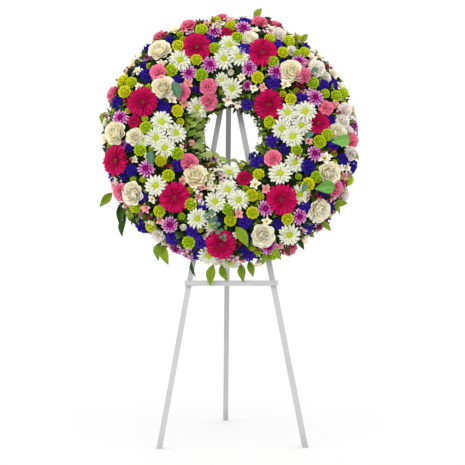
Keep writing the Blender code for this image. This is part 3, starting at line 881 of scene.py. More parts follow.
BUD_ROWS = [(3, 4.5, 10, 90, 0.86), (4, 6.5, 9, 87, 0.92), (5, 8.0, 8, 82, 0.92)]
ROSES = several(3, rose, "rose_pattern", LONG_STEM, ROSE_ROWS)
ROSE_BUDS = several(1, rose, "rose_bud_pattern", SHORT_STEM, BUD_ROWS)
print("rose:", [len(mesh.polygons) for mesh in ROSES + ROSE_BUDS])

# %% [markdown]
# ## Carnations
# A carnation is a crowd of thin fans with a toothed, ruffled rim, pressed up out of a long green tube.
# The ruffle is a wave along the rim, whose every other corner is drawn back. There are pink and blush ones.


# %% Carnations
def carnation(name, deep, fan):
    """Rows of ruffled fans that grow out of a tube."""
    parts = single(CARNATION_TUBE)
    for count, radius, height, tilt, size in CARNATION_ROWS:
        parts += tinted(fan, ring(count, radius, height, tilt, size, loose=0.14))
    return bunch(name, parts + stem(deep))


def ruffled(petal):
    """One fan with a toothed wave along its rim."""
    made = strip(
        f"{petal.name}_fan", 22, *FAN_SHAPE, cup=0.12, columns=6, thick=0.35, tip=0.10, ruffle=0.14)
    return pattern(made, petal, smooth=75)


CARNATION_ROWS = [
    (5, 2, 18, 84, 0.9), (8, 4, 17, 68, 0.95), (10, 5.5, 16, 48, 1.0), (10, 6.5, 15, 26, 1.0),
    (8, 7, 14, 6, 0.95)]
FAN_SHAPE = ((0.10, 0.32, 0.46, 0.44), (0, 0.04, 0.03, -0.04))
CARNATION_FAN, BLUSH_FAN = ruffled(CARNATION_PETAL), ruffled(BLUSH_PETAL)
CARNATION_TUBE = pattern(turned("carnation_tube", 10, [(3, 2), (6.5, 5), (7.5, 15), (8.5, 20)]), STEM_SKIN)
CARNATIONS = several(3, carnation, "carnation_pattern", LONG_STEM, CARNATION_FAN)
BLUSH_CARNATIONS = several(2, carnation, "blush_pattern", LONG_STEM, BLUSH_FAN)
print("carnation:", [len(mesh.polygons) for mesh in CARNATIONS])

# %% [markdown]
# ## Statice
# Statice is papery and deep violet-blue. Each floret is a little funnel with a pleated rim, and a sprig
# carries about forty of them, close together. A funnel is a cone whose filled end is pushed in at
# its middle, and whose rim is drawn in at every other corner.


# %% Statice
def statice(name, deep, count=40):
    """A dome of funnels round a core, on its stem."""
    parts = []
    for place in spiral(count, 22, 13, 95):
        loose = moved(dice.gauss(0, 1.2), dice.gauss(0, 1.2), dice.gauss(12, 2.0))
        turned_in = (spun("Z", dice.uniform(0, 6)) @ spun("X", dice.gauss(0, 0.2))
                     @ sized(dice.uniform(0.8, 1.15)))
        parts += tinted(FUNNEL, [loose @ place @ turned_in])
    parts += single(STATICE_CORE)
    return bunch(name, parts + stem(deep))


def at_a_fifth(co):
    """Whether a corner lies at one of five even angles about Z."""
    return (math.atan2(-co.x, co.y) + 0.1) % (math.tau / 5) < 0.2


def funnel(name, wide, high, finish):
    """A five-lobed funnel, so many mm wide and high, hollow at its mouth."""
    rest()
    bpy.ops.mesh.primitive_cone_add(
        vertices=10, radius1=0.2 * wide * MM, radius2=wide * MM, depth=high * MM, end_fill_type="TRIFAN")
    made = shape(name)
    pick(made, lambda co: co.z > 0 and co.xy.length < 0.1 * wide * MM)
    shift(z=-0.5 * high * MM)
    pick(made, lambda co: co.z > 0.4 * high * MM and at_a_fifth(co))
    stretch(0.62, 0.62)
    shift(z=-0.12 * high * MM)
    return mapped(pattern(made, finish, smooth=30), 2)


FUNNEL = funnel("funnel", 5.7, 9.5, STATICE_PETAL)
STATICE_CORE = pattern(turned(
    "statice_core", 10, [(3, 2), (12, 9), (16, 13), (10, 19), (4, 21)]), STATICE_HEART)
STATICES = several(3, statice, "statice_pattern", SHORT_STEM)
SMALL_STATICES = several(2, statice, "small_statice_pattern", SHORT_STEM, 20)
print("statice:", [len(mesh.polygons) for mesh in STATICES])

# %% [markdown]
# ## Small lilies
# Pale pink and peach lilies of the Peruvian kind stand between the large heads. Six broad pointed petals
# open from a funnel, three outside and three inside, round a few long stamens.


# %% Small lilies
def lily(name, deep, petal):
    """A funnel of six petals with stamens."""
    outer = ring(3, 3, 11, 30, loose=0.08)
    inner = ring(3, 3, 12, 38, 0.95, start=math.pi / 3, loose=0.08)
    parts = tinted(petal, outer + inner)
    parts += tinted(STAMEN, ring(5, 1.5, 12, 62, loose=0.15)) + single(CUP, 0.7)
    return bunch(name, parts + stem(deep))


LILY_SHAPE = ((0.10, 0.25, 0.34, 0.34, 0.24, 0.07), (0, 0.09, 0.13, 0.13, 0.09, 0.0))
PALE_LILY_LEAF = pattern(strip("pale_lily_petal", 31, *LILY_SHAPE, cup=0.3), PALE_LILY_PETAL)
PEACH_LILY_LEAF = pattern(strip("peach_lily_petal", 31, *LILY_SHAPE, cup=0.3), PEACH_LILY_PETAL)
STAMEN = spindle("stamen", 19, 0.8, 1.0, ANTHER)
PALE_LILIES = several(2, lily, "pale_lily_pattern", SHORT_STEM, PALE_LILY_LEAF)
PEACH_LILIES = several(2, lily, "peach_lily_pattern", SHORT_STEM, PEACH_LILY_LEAF)
print("lily:", [len(mesh.polygons) for mesh in PALE_LILIES + PEACH_LILIES])

# %% [markdown]
# ## Leaves, sprigs and fillers
# A leaf is the petal strip again with a pointed end, and there are slim, broad and oval ones. Eucalyptus
# is a twig with pairs of round leaves, and the fern in the hole a twig with many thin ones. Wax flowers
# are five blunt petals on a thread, and the maroon buds are drums with a tip. Both stand in clusters.

# %% Leaf patterns
LEAF_SHAPE = ((0.03, 0.15, 0.21, 0.19, 0.11, 0.012), (0, 0.05, 0.09, 0.09, 0.04, -0.05))
OUTER_LEAF_SHAPE = ((0.03, 0.16, 0.23, 0.21, 0.12, 0.012), (0, 0.05, 0.09, 0.09, 0.03, -0.08))
PLAIN_LEAF_SHAPE = ((0.03, 0.20, 0.17, 0.012), (0, 0.08, 0.07, -0.05))
SLIM_LEAF_SHAPE = ((0.02, 0.13, 0.10, 0.01), (0, 0.08, 0.05, -0.10))
FAN_LEAF_SHAPE = (
    (0.04, 0.10, 0.18, 0.26, 0.32, 0.345, 0.32, 0.23, 0.05),
    (0, 0.03, 0.06, 0.08, 0.085, 0.08, 0.05, 0.01, -0.04))
OVAL_LEAF_SHAPE = (
    (0.04, 0.15, 0.23, 0.27, 0.285, 0.27, 0.22, 0.14, 0.02),
    (0, 0.03, 0.05, 0.07, 0.08, 0.07, 0.05, 0.02, -0.02))
ROUND_LEAF_SHAPE = ((0.05, 0.36, 0.48, 0.42, 0.16), (0, 0.04, 0.06, 0.05, 0.0))


def leaf(name, long, outline, finish, cup=0.5, columns=2):
    """A leaf along +Y, with its stalk end at the origin."""
    return pattern(strip(name, long, *outline, cup=cup, columns=columns, thick=0.35), finish, smooth=70)


DARK_LEAVES = [
    leaf("dark_leaf", 42, PLAIN_LEAF_SHAPE, DARK_LEAF),
    leaf("dark_slim_leaf", 46, SLIM_LEAF_SHAPE, DARK_LEAF)]
LIGHT_LEAVES = [leaf("light_leaf", 38, LEAF_SHAPE, LIGHT_LEAF)]
PALE_LEAVES = [
    leaf(f"{finish.name}_inner", 38, LEAF_SHAPE, finish) for finish in (PALE_LEAF, PALE_LEAF, LIGHT_LEAF)]
OUTER_LIGHT_LEAF = leaf("outer_light_leaf", 38, OUTER_LEAF_SHAPE, LIGHT_LEAF)
OUTER_DARK_LEAF = leaf("outer_dark_leaf", 42, LEAF_SHAPE, DARK_LEAF)
OUTER_SLIM_LEAF = leaf("outer_slim_leaf", 42, SLIM_LEAF_SHAPE, DARK_LEAF)
FAN_LEAF = leaf("broad_leaf", 50, FAN_LEAF_SHAPE, BROAD_LEAF, cup=0.5, columns=4)
OVAL_LEAF = leaf("oval_leaf", 40, OVAL_LEAF_SHAPE, EUCALYPTUS_LEAF, cup=0.45, columns=4)
STALK_LONG = 10
STALK = pattern(turned("stalk", 4, [(0.8, 0), (0.6, STALK_LONG)]), STEM_SKIN)
ROUND_LEAF = leaf("round_leaf", 19, ROUND_LEAF_SHAPE, EUCALYPTUS_LEAF, cup=0.3)
FERN_LEAFLET = pattern(strip(
    "fern_leaflet", 12, (0.05, 0.16, 0.02), (0, 0.05, 0), 0.3, columns=1, thick=0.3), FERN_LEAF)


def twig(name, long, pairs, leaflet, spread, size_from, size_to, thick):
    """A twig along +Y, with pairs of leaflets up to its tip."""
    rod = pattern(turned(
        f"{name}_rod", 5, [(thick, 0), (thick * 0.8, long * 0.5), (thick * 0.3, long)]), STEM_SKIN)
    rod.transform(spun("X", -QUARTER))
    parts = [(rod, Matrix(), {"tint": 0.5})]
    for pair in range(pairs):
        share = (pair + 0.6) / pairs
        size = size_from + (size_to - size_from) * share
        for side in (-1, 1):
            aside = side * math.radians(spread) * dice.uniform(0.8, 1.15)
            parts += tinted(leaflet, [
                moved(y=share * long) @ spun("Z", -aside) @ spun("X", dice.gauss(0.25, 0.2))
                @ spun("Y", dice.gauss(0, 0.3)) @ sized(size)])
    parts += tinted(leaflet, [moved(y=0.97 * long) @ sized(size_to)])
    return bunch(name, parts)


FERNS = several(2, twig, "fern", 46, 8, FERN_LEAFLET, 52, 1.1, 0.6, 0.5)
EUCALYPTUS = several(2, twig, "eucalyptus", 78, 5, ROUND_LEAF, 62, 0.85, 0.5, 0.8)
print("fern:", len(FERNS[0].polygons), "eucalyptus:", len(EUCALYPTUS[0].polygons))

# %% Filler patterns
WAX_RIM = 1.3 * MM


def wax_flower(name, finish):
    """A disc whose every third rim corner is drawn in, which leaves five blunt petals, raised at the rim."""
    rest()
    bpy.ops.mesh.primitive_circle_add(vertices=15, radius=4.8 * MM, fill_type="TRIFAN")
    made = shape(name)
    pick(made, lambda co: co.length > MM)
    shift(z=WAX_RIM)
    pick(made, lambda co: co.length > MM and at_a_fifth(co))
    stretch(0.45, 0.45, about=(0, 0, WAX_RIM))
    apply_modifier(made, "SOLIDIFY", thickness=0.35 * MM, offset=0.0)
    return pattern(made, finish)


WAX_FLOWERS = [wax_flower("pink_wax_flower", PINK_WAX), wax_flower("white_wax_flower", WHITE_WAX)]
WAX_EYE = pattern(turned("wax_eye", 4, [(0.8, -0.5), (1.2, 0.6), (0.5, 1.1)]), BUD_SKIN)
THREAD = pattern(turned("thread", 3, [(0.45, -30), (0.6, 0)]), STEM_SKIN)
BUD = pattern(turned("bud", 5, [(0.8, -1), (3.1, 2.6), (2.6, 5.6), (0.5, 8.2)]), BUD_SKIN)


def cluster(name, count, shapes, spread, highs):
    """A bunch of small flowers or buds, each on its thread, so many radians apart and so many mm high."""
    parts = []
    for _ in range(count):
        stand = (spun("Z", dice.uniform(0, math.tau)) @ spun("X", dice.uniform(0, spread))
                 @ moved(z=dice.uniform(*highs)))
        for source in shapes:
            parts += tinted(source, [stand])
    return bunch(name, parts)


WAX_CLUSTERS = [
    cluster(f"wax_cluster_{number}", 8, [WAX_FLOWERS[number % 2], WAX_EYE, THREAD], 0.6, (22, 34))
    for number in range(4)]
BUD_CLUSTERS = several(2, cluster, "bud_cluster", 6, [BUD, THREAD], 0.55, (20, 32))
print("wax cluster:", len(WAX_CLUSTERS[0].polygons), "bud cluster:", len(BUD_CLUSTERS[0].polygons))

# %% [markdown]
# ## Where each bloom stands
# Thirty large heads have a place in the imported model, and their nodes give it. The others are placed by
# the column and row at which the picture shows them: the bed is searched for the seat whose bloom, at
# its own height, shows there. That way each one stands on the bed, whatever side it is seen from.

# %% Blooms by picture column and row
MORE_GERBERAS = [(224, 35, 0.5), (134, 122, 0.42), (244, 178, 0.55), (320, 121, 0.75)]
MORE_ROSES = [(248, 38, 0.8), (339, 130, 0.85), (136, 137, 0.75)]
BLUSH_AT = [
    (280, 32, 0.95), (321, 66, 1.05), (345, 107, 0.95), (328, 75, 0.7), (294, 50, 0.6), (344, 123, 0.9),
    (352, 152, 0.85), (351, 134, 0.7), (156, 239, 0.8), (331, 63, 0.65), (356, 142, 0.6)]
ROSE_BUDS_AT = [(183, 229, 0.8), (231, 72, 0.75)]
MORE_CARNATIONS = [
    (161, 70), (191, 163), (119, 195), (302, 73), (339, 189), (184, 89), (209, 89), (208, 103),
    (328, 107, 0.85)]
MORE_WHITE_DAISIES = [
    (181, 59), (229, 48), (236, 55), (175, 134), (155, 139), (165, 145), (158, 187), (236, 198),
    (218, 202), (229, 171), (198, 217), (233, 88), (286, 115), (299, 123), (304, 115), (284, 129),
    (280, 173), (294, 162), (290, 235), (299, 194), (209, 259), (229, 267)]
SMALL_WHITE_DAISIES_AT = [(141, 139), (222, 79)]
MORE_BUTTONS = [
    (179, 47), (172, 66), (202, 77), (215, 48), (203, 29), (196, 57), (231, 25), (235, 37), (269, 39),
    (289, 39), (283, 50), (271, 59), (304, 52), (312, 80), (291, 101), (121, 79), (130, 81), (122, 91),
    (148, 129), (139, 149), (161, 160), (175, 152), (169, 175), (187, 204), (250, 195), (230, 219),
    (226, 209), (259, 174), (296, 146), (322, 139), (329, 132), (307, 186), (316, 178), (290, 219),
    (158, 212), (149, 229), (190, 245), (132, 207), (273, 119), (177, 111), (341, 95), (327, 92, 0.8),
    (299, 53, 0.8), (240, 164, 0.5)]
LILAC_DAISIES_AT = [
    (189, 73), (210, 65), (214, 34), (247, 66), (274, 70), (242, 30), (298, 59), (315, 98), (119, 119),
    (146, 169), (169, 225), (263, 210), (315, 154), (300, 214), (190, 260), (177, 253), (268, 246)]
STATICE_AT = [
    (207, 38), (145, 47), (169, 39), (147, 75), (176, 80), (243, 52), (244, 23), (278, 44), (306, 47),
    (274, 80), (324, 84, 0.75), (336, 83, 0.75), (116, 100), (165, 109), (301, 100), (328, 121),
    (272, 141), (333, 145), (249, 153, 0.6), (257, 161, 0.9), (247, 105, 0.7), (308, 167), (346, 159),
    (112, 179), (132, 170), (180, 163), (139, 196), (202, 207), (278, 225), (302, 206), (245, 224),
    (309, 229), (331, 207), (171, 239), (197, 243), (191, 232), (249, 257), (199, 258)]
PALE_LILIES_AT = [
    (290, 28, 0.7), (270, 29, 0.6), (310, 57, 0.7), (131, 63, 0.95), (126, 70, 0.8), (137, 71, 0.6),
    (139, 56, 0.7), (104, 141, 0.8), (346, 142, 0.7), (327, 160, 0.8), (213, 262, 0.8), (204, 262, 0.7),
    (318, 216, 0.6), (341, 168, 0.6), (200, 112, 0.7), (228, 101, 0.7), (238, 104, 0.6), (334, 76, 0.8),
    (341, 89, 0.7), (346, 167, 0.6), (315, 47, 0.6)]
PEACH_LILIES_AT = [
    (186, 86, 0.6), (299, 43, 0.5), (106, 190, 0.7), (146, 209, 0.6), (186, 104, 0.6), (338, 106, 0.7),
    (345, 176, 0.6), (192, 143, 0.5), (237, 155, 0.4), (203, 187, 0.5), (243, 265, 0.5), (307, 61, 0.5),
    (109, 89, 0.5)]

# Each kind has its patterns and, in mm, the height at which it shows, its radius and its cup's height.
Kind = namedtuple("Kind", "patterns high radius cup")
KINDS = {
    "gerbera": Kind(GERBERAS, 18, 49, 12),
    "rose": Kind(ROSES, 38, 34, 8),
    "rose_bud": Kind(ROSE_BUDS, 38, 20, 10),
    "carnation": Kind(CARNATIONS, 36, 28, 14),
    "blush": Kind(BLUSH_CARNATIONS, 36, 28, 14),
    "white_daisy": Kind(WHITE_DAISIES, 18, 35, 11),
    "green_button": Kind(BUTTONS, 28, 22, 6),
    "lilac_daisy": Kind(LILAC_DAISIES, 17, 27, 10),
    "statice": Kind(STATICES, 20, 27, 8),
    "pale_lily": Kind(PALE_LILIES, 24, 27, 10),
    "peach_lily": Kind(PEACH_LILIES, 24, 27, 10),
    "small_green_button": Kind(SMALL_BUTTONS, 28, 22, 6),
    "small_white_daisy": Kind(SMALL_WHITE_DAISIES, 18, 35, 11),
    "small_statice": Kind(SMALL_STATICES, 20, 27, 8),
    "small_lilac_daisy": Kind(SMALL_LILAC_DAISIES, 17, 27, 10),
}
SLOTS = {"rose_bud": "rose", "blush": "carnation", "pale_lily": "filler", "peach_lily": "filler"}
USUAL_SIZE = {"statice": (0.66, 0.86)}


def bloom(kind, around, over, size=1.0, node=None):
    """One bloom to plant: its kind, its place on the bed and its size."""
    return {"kind": kind, "around": around, "over": over, "size": size, "node": node}


blooms = []
for name in sorted(frame["nodes"]):
    kind = name.rsplit("_", 1)[0]
    if kind in KINDS:
        blooms.append(bloom(kind, *seat_of_node(name), node=name))
for kind, spots in [
        ("gerbera", MORE_GERBERAS), ("rose", MORE_ROSES), ("rose_bud", ROSE_BUDS_AT),
        ("carnation", MORE_CARNATIONS), ("blush", BLUSH_AT), ("white_daisy", MORE_WHITE_DAISIES),
        ("white_daisy", [(*spot, 0.65) for spot in SMALL_WHITE_DAISIES_AT]), ("green_button", MORE_BUTTONS),
        ("lilac_daisy", LILAC_DAISIES_AT), ("statice", STATICE_AT), ("pale_lily", PALE_LILIES_AT),
        ("peach_lily", PEACH_LILIES_AT)]:
    for column, row, *size in spots:
        size = size[0] if size else dice.uniform(*USUAL_SIZE.get(kind, (0.92, 1.06)))
        blooms.append(bloom(kind, *seat_seen_at(column, row, KINDS[kind].high * MM * size), size=size))
print("blooms:", len(blooms))

# %% [markdown]
# ## Elbow room
# Places read off a picture are a few millimetres out, so some blooms would grow through each other. Each
# pair that stands too close is pushed apart along the bed, round after round. Heads with a node of their
# own hold still, and the others may move only a little, so the picture's layout stays.

# %% Push crowded blooms apart
ROOM = 0.80
MOVE_MOST = 9 * MM
ROUNDS = 40
SOFTLY = 0.4
TINY = 1e-9


def onto_bed(points):
    """The angles of the places on the bed nearest to these world points."""
    local = in_wreath(points)
    across = np.hypot(local[:, 0], local[:, 1])
    over = np.arctan2((local[:, 2] - BED_CENTRE) / BED_HIGH, (across - RING_RADIUS) / HALF_WIDE)
    over = np.where(over < BED_FROM, over + math.tau, over)
    return np.arctan2(local[:, 1], local[:, 0]), np.clip(over, BED_FROM, BED_TO)


def bloom_angles():
    """The angles of all the blooms' places, as two arrays."""
    return [np.array([item[label] for item in blooms]) for label in ("around", "over")]


def bloom_measures(label):
    """A measure of every bloom's kind, at the bloom's own size."""
    return np.array([getattr(KINDS[item["kind"]], label) * MM * item["size"] for item in blooms])


radii = bloom_measures("radius")
free = np.array([item["node"] is None for item in blooms])
home = seats(*bloom_angles())[0]
at = home.copy()
for _ in range(ROUNDS):
    lead = at[:, None] - at[None]
    apart = np.linalg.norm(lead, axis=2) + np.eye(len(at))
    short = np.clip((radii[:, None] + radii[None]) * ROOM - apart, 0, None)
    np.fill_diagonal(short, 0)
    # Two free blooms share a push, and one beside a head that holds still takes all of it.
    share = np.where(free[None], 0.5, 1.0)
    push = (lead / apart[..., None] * (short * share)[..., None]).sum(1) * SOFTLY
    at += push * free[:, None]
    off = at - home
    reach = np.linalg.norm(off, axis=1, keepdims=True)
    at = home + off * np.minimum(1.0, MOVE_MOST / np.maximum(reach, TINY))
    around, over = onto_bed(at)
    at = np.where(free[:, None], seats(around, over)[0], home)
around, over = onto_bed(at)
for number, item in enumerate(blooms):
    if free[number]:
        item["around"], item["over"] = around[number], over[number]
print("moved by up to", round(float(np.linalg.norm(at - home, axis=1).max() / MM), 1), "mm")

# %% [markdown]
# ## Filling the sides and the gaps
# The florist fills the rim and the inside of the hole as well. Where the picture doesn't show the bed,
# full-sized blooms are tried at random and kept where they have room, so the wreath is full from every
# side. Small ones then go into the gaps that are left anywhere. None may hang into the open hole, which the
# picture shows as an oval.

# %% Blooms on the sides and in the gaps
HOLE_MIDDLE = (232.0, 134.5)
HOLE_HALF = (26.0, 25.5)
SEEN_FACING = 0.40
PETALS_REACH = 0.8
SIDE_KINDS = ["green_button", "white_daisy", "lilac_daisy", "statice", "carnation", "pale_lily", "blush"]
GAP_KINDS = [
    "small_green_button", "small_statice", "small_lilac_daisy", "small_green_button", "small_white_daisy",
    "peach_lily", "pale_lily", "pale_lily"]


def in_the_hole(points):
    """Whether the camera sees any of these points in the open hole."""
    columns, rows = seen_at(np.array(points))
    off = (columns - HOLE_MIDDLE[0]) / HOLE_HALF[0], (rows - HOLE_MIDDLE[1]) / HOLE_HALF[1]
    return bool(np.any(off[0] ** 2 + off[1] ** 2 < 1))


def fill(tries, kinds, between, sizes, room, unseen):
    """Tries blooms at random places and keeps those with room. Returns how many it kept."""
    global at, radii
    kept = len(blooms)
    for _ in range(tries):
        around = dice.uniform(0, math.tau)
        over = math.radians(dice.uniform(*between))
        place, normal = seats(around, over)
        towards = np.array(eye) - place
        if unseen and towards @ normal / np.linalg.norm(towards) > SEEN_FACING:
            continue
        kind = dice.choice(kinds)
        size = dice.uniform(*sizes)
        radius = KINDS[kind].radius * MM * size
        head = place + normal * KINDS[kind].high * MM * size
        side = np.cross(normal, (0, 0, 1)) * radius * PETALS_REACH
        lift = np.cross(side, normal)
        if in_the_hole([head, head + side, head - side, head + lift, head - lift]):
            continue
        if np.all(np.linalg.norm(at - place, axis=1) > room * (radius + radii)):
            blooms.append(bloom(kind, around, over, size=size))
            at = np.vstack([at, place])
            radii = bloom_measures("radius")
    return len(blooms) - kept


print("on the sides:", fill(4000, SIDE_KINDS, (-12, 165), sizes=(0.9, 1.05), room=0.88, unseen=True))
print("in the gaps:", fill(9000, GAP_KINDS, (-14, 122), sizes=(0.5, 0.7), room=0.83, unseen=False))

# %% [markdown]
# ## Planting
# A head that has a node of its own becomes a piece of its own, which stands for that node. The others
# of one kind are joined by the eighth of the ring that they stand in.


# %% Plant the blooms
def piece(name, copies, slot, *nodes):
    """A finished piece: joined copies that ride with the front frame."""
    made = gather(name, copies)
    made.name = name
    made.data.name = name
    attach(made, "front")
    if nodes:
        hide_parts(*nodes)


RIM_FORWARD = 0.55
TIPPED_BY = 0.09
RAISED_BY = (-3, 5)
groups = {}
for item in blooms:
    tip = (0.0, 0.0) if item["node"] else (dice.gauss(0, TIPPED_BY), dice.gauss(0, TIPPED_BY))
    above = 0.0 if item["node"] else dice.uniform(*RAISED_BY) * MM
    forward = 0.0 if item["node"] else RIM_FORWARD * max(0.0, math.cos(item["over"]))
    spin = dice.uniform(0, math.tau)
    place = standing(item["around"], item["over"], above, spin, item["size"], tip, forward)
    copy = (dice.choice(KINDS[item["kind"]].patterns), place, {"bloom": dice.random()})
    if item["node"]:
        piece(f"{item['node']}_bloom", [copy], item["kind"], item["node"])
    else:
        groups.setdefault((item["kind"].removeprefix("small_"), eighth(item["around"])), []).append(copy)
for (kind, number), copies in sorted(groups.items()):
    piece(f"{kind}_group_{number}", copies, SLOTS.get(kind, kind))

# %% [markdown]
# ## Foliage
# Under the blooms is a layer of moss, and out of it come dark leaves, brighter ones, ferns round the
# hole and small fillers. Most are scattered, some are placed where the picture shows them, and dark ones
# lie round the back too. Each eighth of the ring has its own dark foliage, which stands for the plain clump.

# %% The moss
MOSS_SINK = 10 * MM
MOSS_BACK = 6 * MM
MOSS_ROUGH = 2.5 * MM
HOLE_SINK = 24 * MM
rest()
bpy.ops.mesh.primitive_torus_add(
    major_segments=160, minor_segments=30, major_radius=RING_RADIUS, minor_radius=HALF_WIDE)
moss = shape("moss_bed")
stretch(z=(BED_HIGH - MOSS_SINK) / HALF_WIDE)
bpy.ops.transform.vertex_random(offset=MOSS_ROUGH, seed=3)
shift(z=BED_CENTRE)
pick(moss, lambda co: co.z < MOSS_BACK)
stretch(z=0.0, about=(0, 0, MOSS_BACK))
moss_mesh = pattern(moss, MOSS)
for corner in moss_mesh.vertices:
    across = math.hypot(corner.co.x, corner.co.y)
    sink = MOSS_SINK if across > RING_RADIUS else HOLE_SINK
    pull = (RING_RADIUS + (across - RING_RADIUS) * (1 - sink / HALF_WIDE)) / across
    corner.co.x *= pull
    corner.co.y *= pull
piece("moss_bed", [(moss_mesh, WREATH, {"tint": 0.3})], "foliage")
print("moss faces:", len(moss_mesh.polygons))


# %% Scatter leaves over the bed
BLOOM_EDGE = 0.90
BLOOM_OVER = 70 * MM
CLUSTER_SINK = (-8, -2)
CLUSTER_LOOSE = 4
STALK_ROOT = 5 * MM
LEAF_FORWARD = 2
BACK_LIFT = (2.5, 5.5)
BACK_SIZES = (0.6, 0.9)
bloom_seats, bloom_normals = seats(*bloom_angles())
bloom_cups = bloom_measures("cup")


def in_a_bloom(place, marks):
    """Whether any of a shape's marks, once placed, lies over a bloom's footprint and above its cup."""
    for mark in marks:
        lead = np.array(place @ Vector(mark)) - bloom_seats
        along = (lead * bloom_normals).sum(1)
        off = np.linalg.norm(lead - bloom_normals * along[:, None], axis=1)
        if np.any((off < radii * BLOOM_EDGE) & (along > bloom_cups) & (along < BLOOM_OVER)):
            return True
    return False


def anywhere(over_from, over_to):
    """A random place on the bed, as likely on each patch of it."""
    while True:
        around = dice.uniform(0, math.tau)
        over = math.radians(dice.uniform(over_from, over_to))
        if dice.random() < (RING_RADIUS + HALF_WIDE * math.cos(over)) / (RING_RADIUS + HALF_WIDE):
            return around, over


def in_the_gaps(patterns, count, tries, between, stand, marks, label):
    """Copies that stand at random between two angles over the bed, with their marks clear of the blooms."""
    made = []
    for _ in range(count):
        for _ in range(tries):
            around, over = anywhere(*between)
            place = stand(around, over)
            if not in_a_bloom(place, marks) and not in_the_hole([place @ Vector(mark) for mark in marks]):
                made.append((around, (dice.choice(patterns), place, {label: dice.random()})))
                break
    return made


def scatter(patterns, count, long, above, lie, size, between=BED_DEGREES):
    """Sprigs that are turned at random and rise by `lie` radians."""
    def stand(around, over):
        root = standing(around, over, dice.uniform(*above) * MM, dice.uniform(0, math.tau))
        return root @ spun("X", dice.uniform(*lie)) @ sized(dice.uniform(*size))

    marks = [(0, 0.5 * long * MM, 0), (0, long * MM, 0)]
    return in_the_gaps(patterns, count, 6, between, stand, marks, "tint")


def upright(patterns, count, wide, high, between):
    """Clusters that stand on the bed."""
    def stand(around, over):
        return standing(around, over, dice.uniform(*CLUSTER_SINK) * MM, dice.uniform(0, math.tau))

    marks = [(side * wide * MM, other * wide * MM, high * MM) for side in (-1, 0, 1) for other in (-1, 0, 1)]
    return in_the_gaps(patterns, count, 25, between, stand, marks, "bloom")


def stalk(start, end):
    """A thin stalk between two places."""
    lead = end - start
    turn = lead.to_track_quat("Z", "Y").to_matrix().to_4x4()
    longer = Matrix.Diagonal((1, 1, lead.length / (STALK_LONG * MM), 1))
    return STALK, Matrix.Translation(start) @ turn @ longer, {"tint": 0.5}


def pointing(sources, spans, long, above):
    """Leaves on stalks, which the picture shows from a root to a tip, each a (column, row) pair."""
    made = []
    for root, tip in spans:
        around, over = seat_seen_at(*root, above * MM)
        place, normal = (Vector(part) for part in seats(around, over))
        near = place + normal * above * MM
        (column, ), (row, ) = seen_at(np.array([near]))
        pixel = (near - eye).dot(ahead) / (LENS / SENSOR * IMAGE)
        right = Vector((1, 0, 0)) * pixel
        up = up_ring * pixel
        start = near + right * (root[0] - column) + up * (row - root[1])
        reach = right * (tip[0] - root[0]) + up * (root[1] - tip[1])
        out = (normal + face_out * LEAF_FORWARD).normalized()
        side = reach.cross(out).normalized()
        turn = Matrix((side, reach.normalized(), side.cross(reach.normalized()))).transposed().to_4x4()
        place_leaf = (Matrix.Translation(start) @ turn @ spun("Y", dice.gauss(0, 0.25))
                      @ sized(reach.length / (long * MM)))
        made.append((around, (dice.choice(sources), place_leaf, {"tint": dice.uniform(0.4, 1)})))
        made.append((around, stalk(place - normal * STALK_ROOT, start)))
    return made


def seen_clusters(patterns, spots, high):
    """Clusters at the columns and rows where the picture shows them."""
    made = []
    for column, row in spots:
        around, over = seat_seen_at(column, row, high * MM)
        above = dice.uniform(-CLUSTER_LOOSE, CLUSTER_LOOSE) * MM
        place = standing(around, over, above, dice.uniform(0, math.tau))
        made.append((around, (dice.choice(patterns), place, {"bloom": dice.random()})))
    return made


def back_leaves(count, across_from, across_to):
    """Leaves that lie on the flat back of the moss and point away from the foam."""
    made = []
    for _ in range(count):
        around = dice.uniform(0, math.tau)
        across = dice.uniform(across_from, across_to)
        outward = math.copysign(QUARTER, across - RING_RADIUS)
        spot = Vector((across * math.cos(around), across * math.sin(around), dice.uniform(*BACK_LIFT) * MM))
        lying = spun("Z", around - outward + dice.gauss(0, 0.5)) @ spun("Y", math.pi)
        place = WREATH @ Matrix.Translation(spot) @ lying @ sized(dice.uniform(*BACK_SIZES))
        made.append((around, (dice.choice(DARK_LEAVES), place, {"tint": dice.random()})))
    return made


def by_eighth(copies_at):
    """Sorts (around, copy) pairs into the eighths of the ring."""
    sorted_copies = {number: [] for number in range(1, CLUMPS + 1)}
    for around, copy in copies_at:
        sorted_copies[eighth(around)].append(copy)
    return sorted_copies


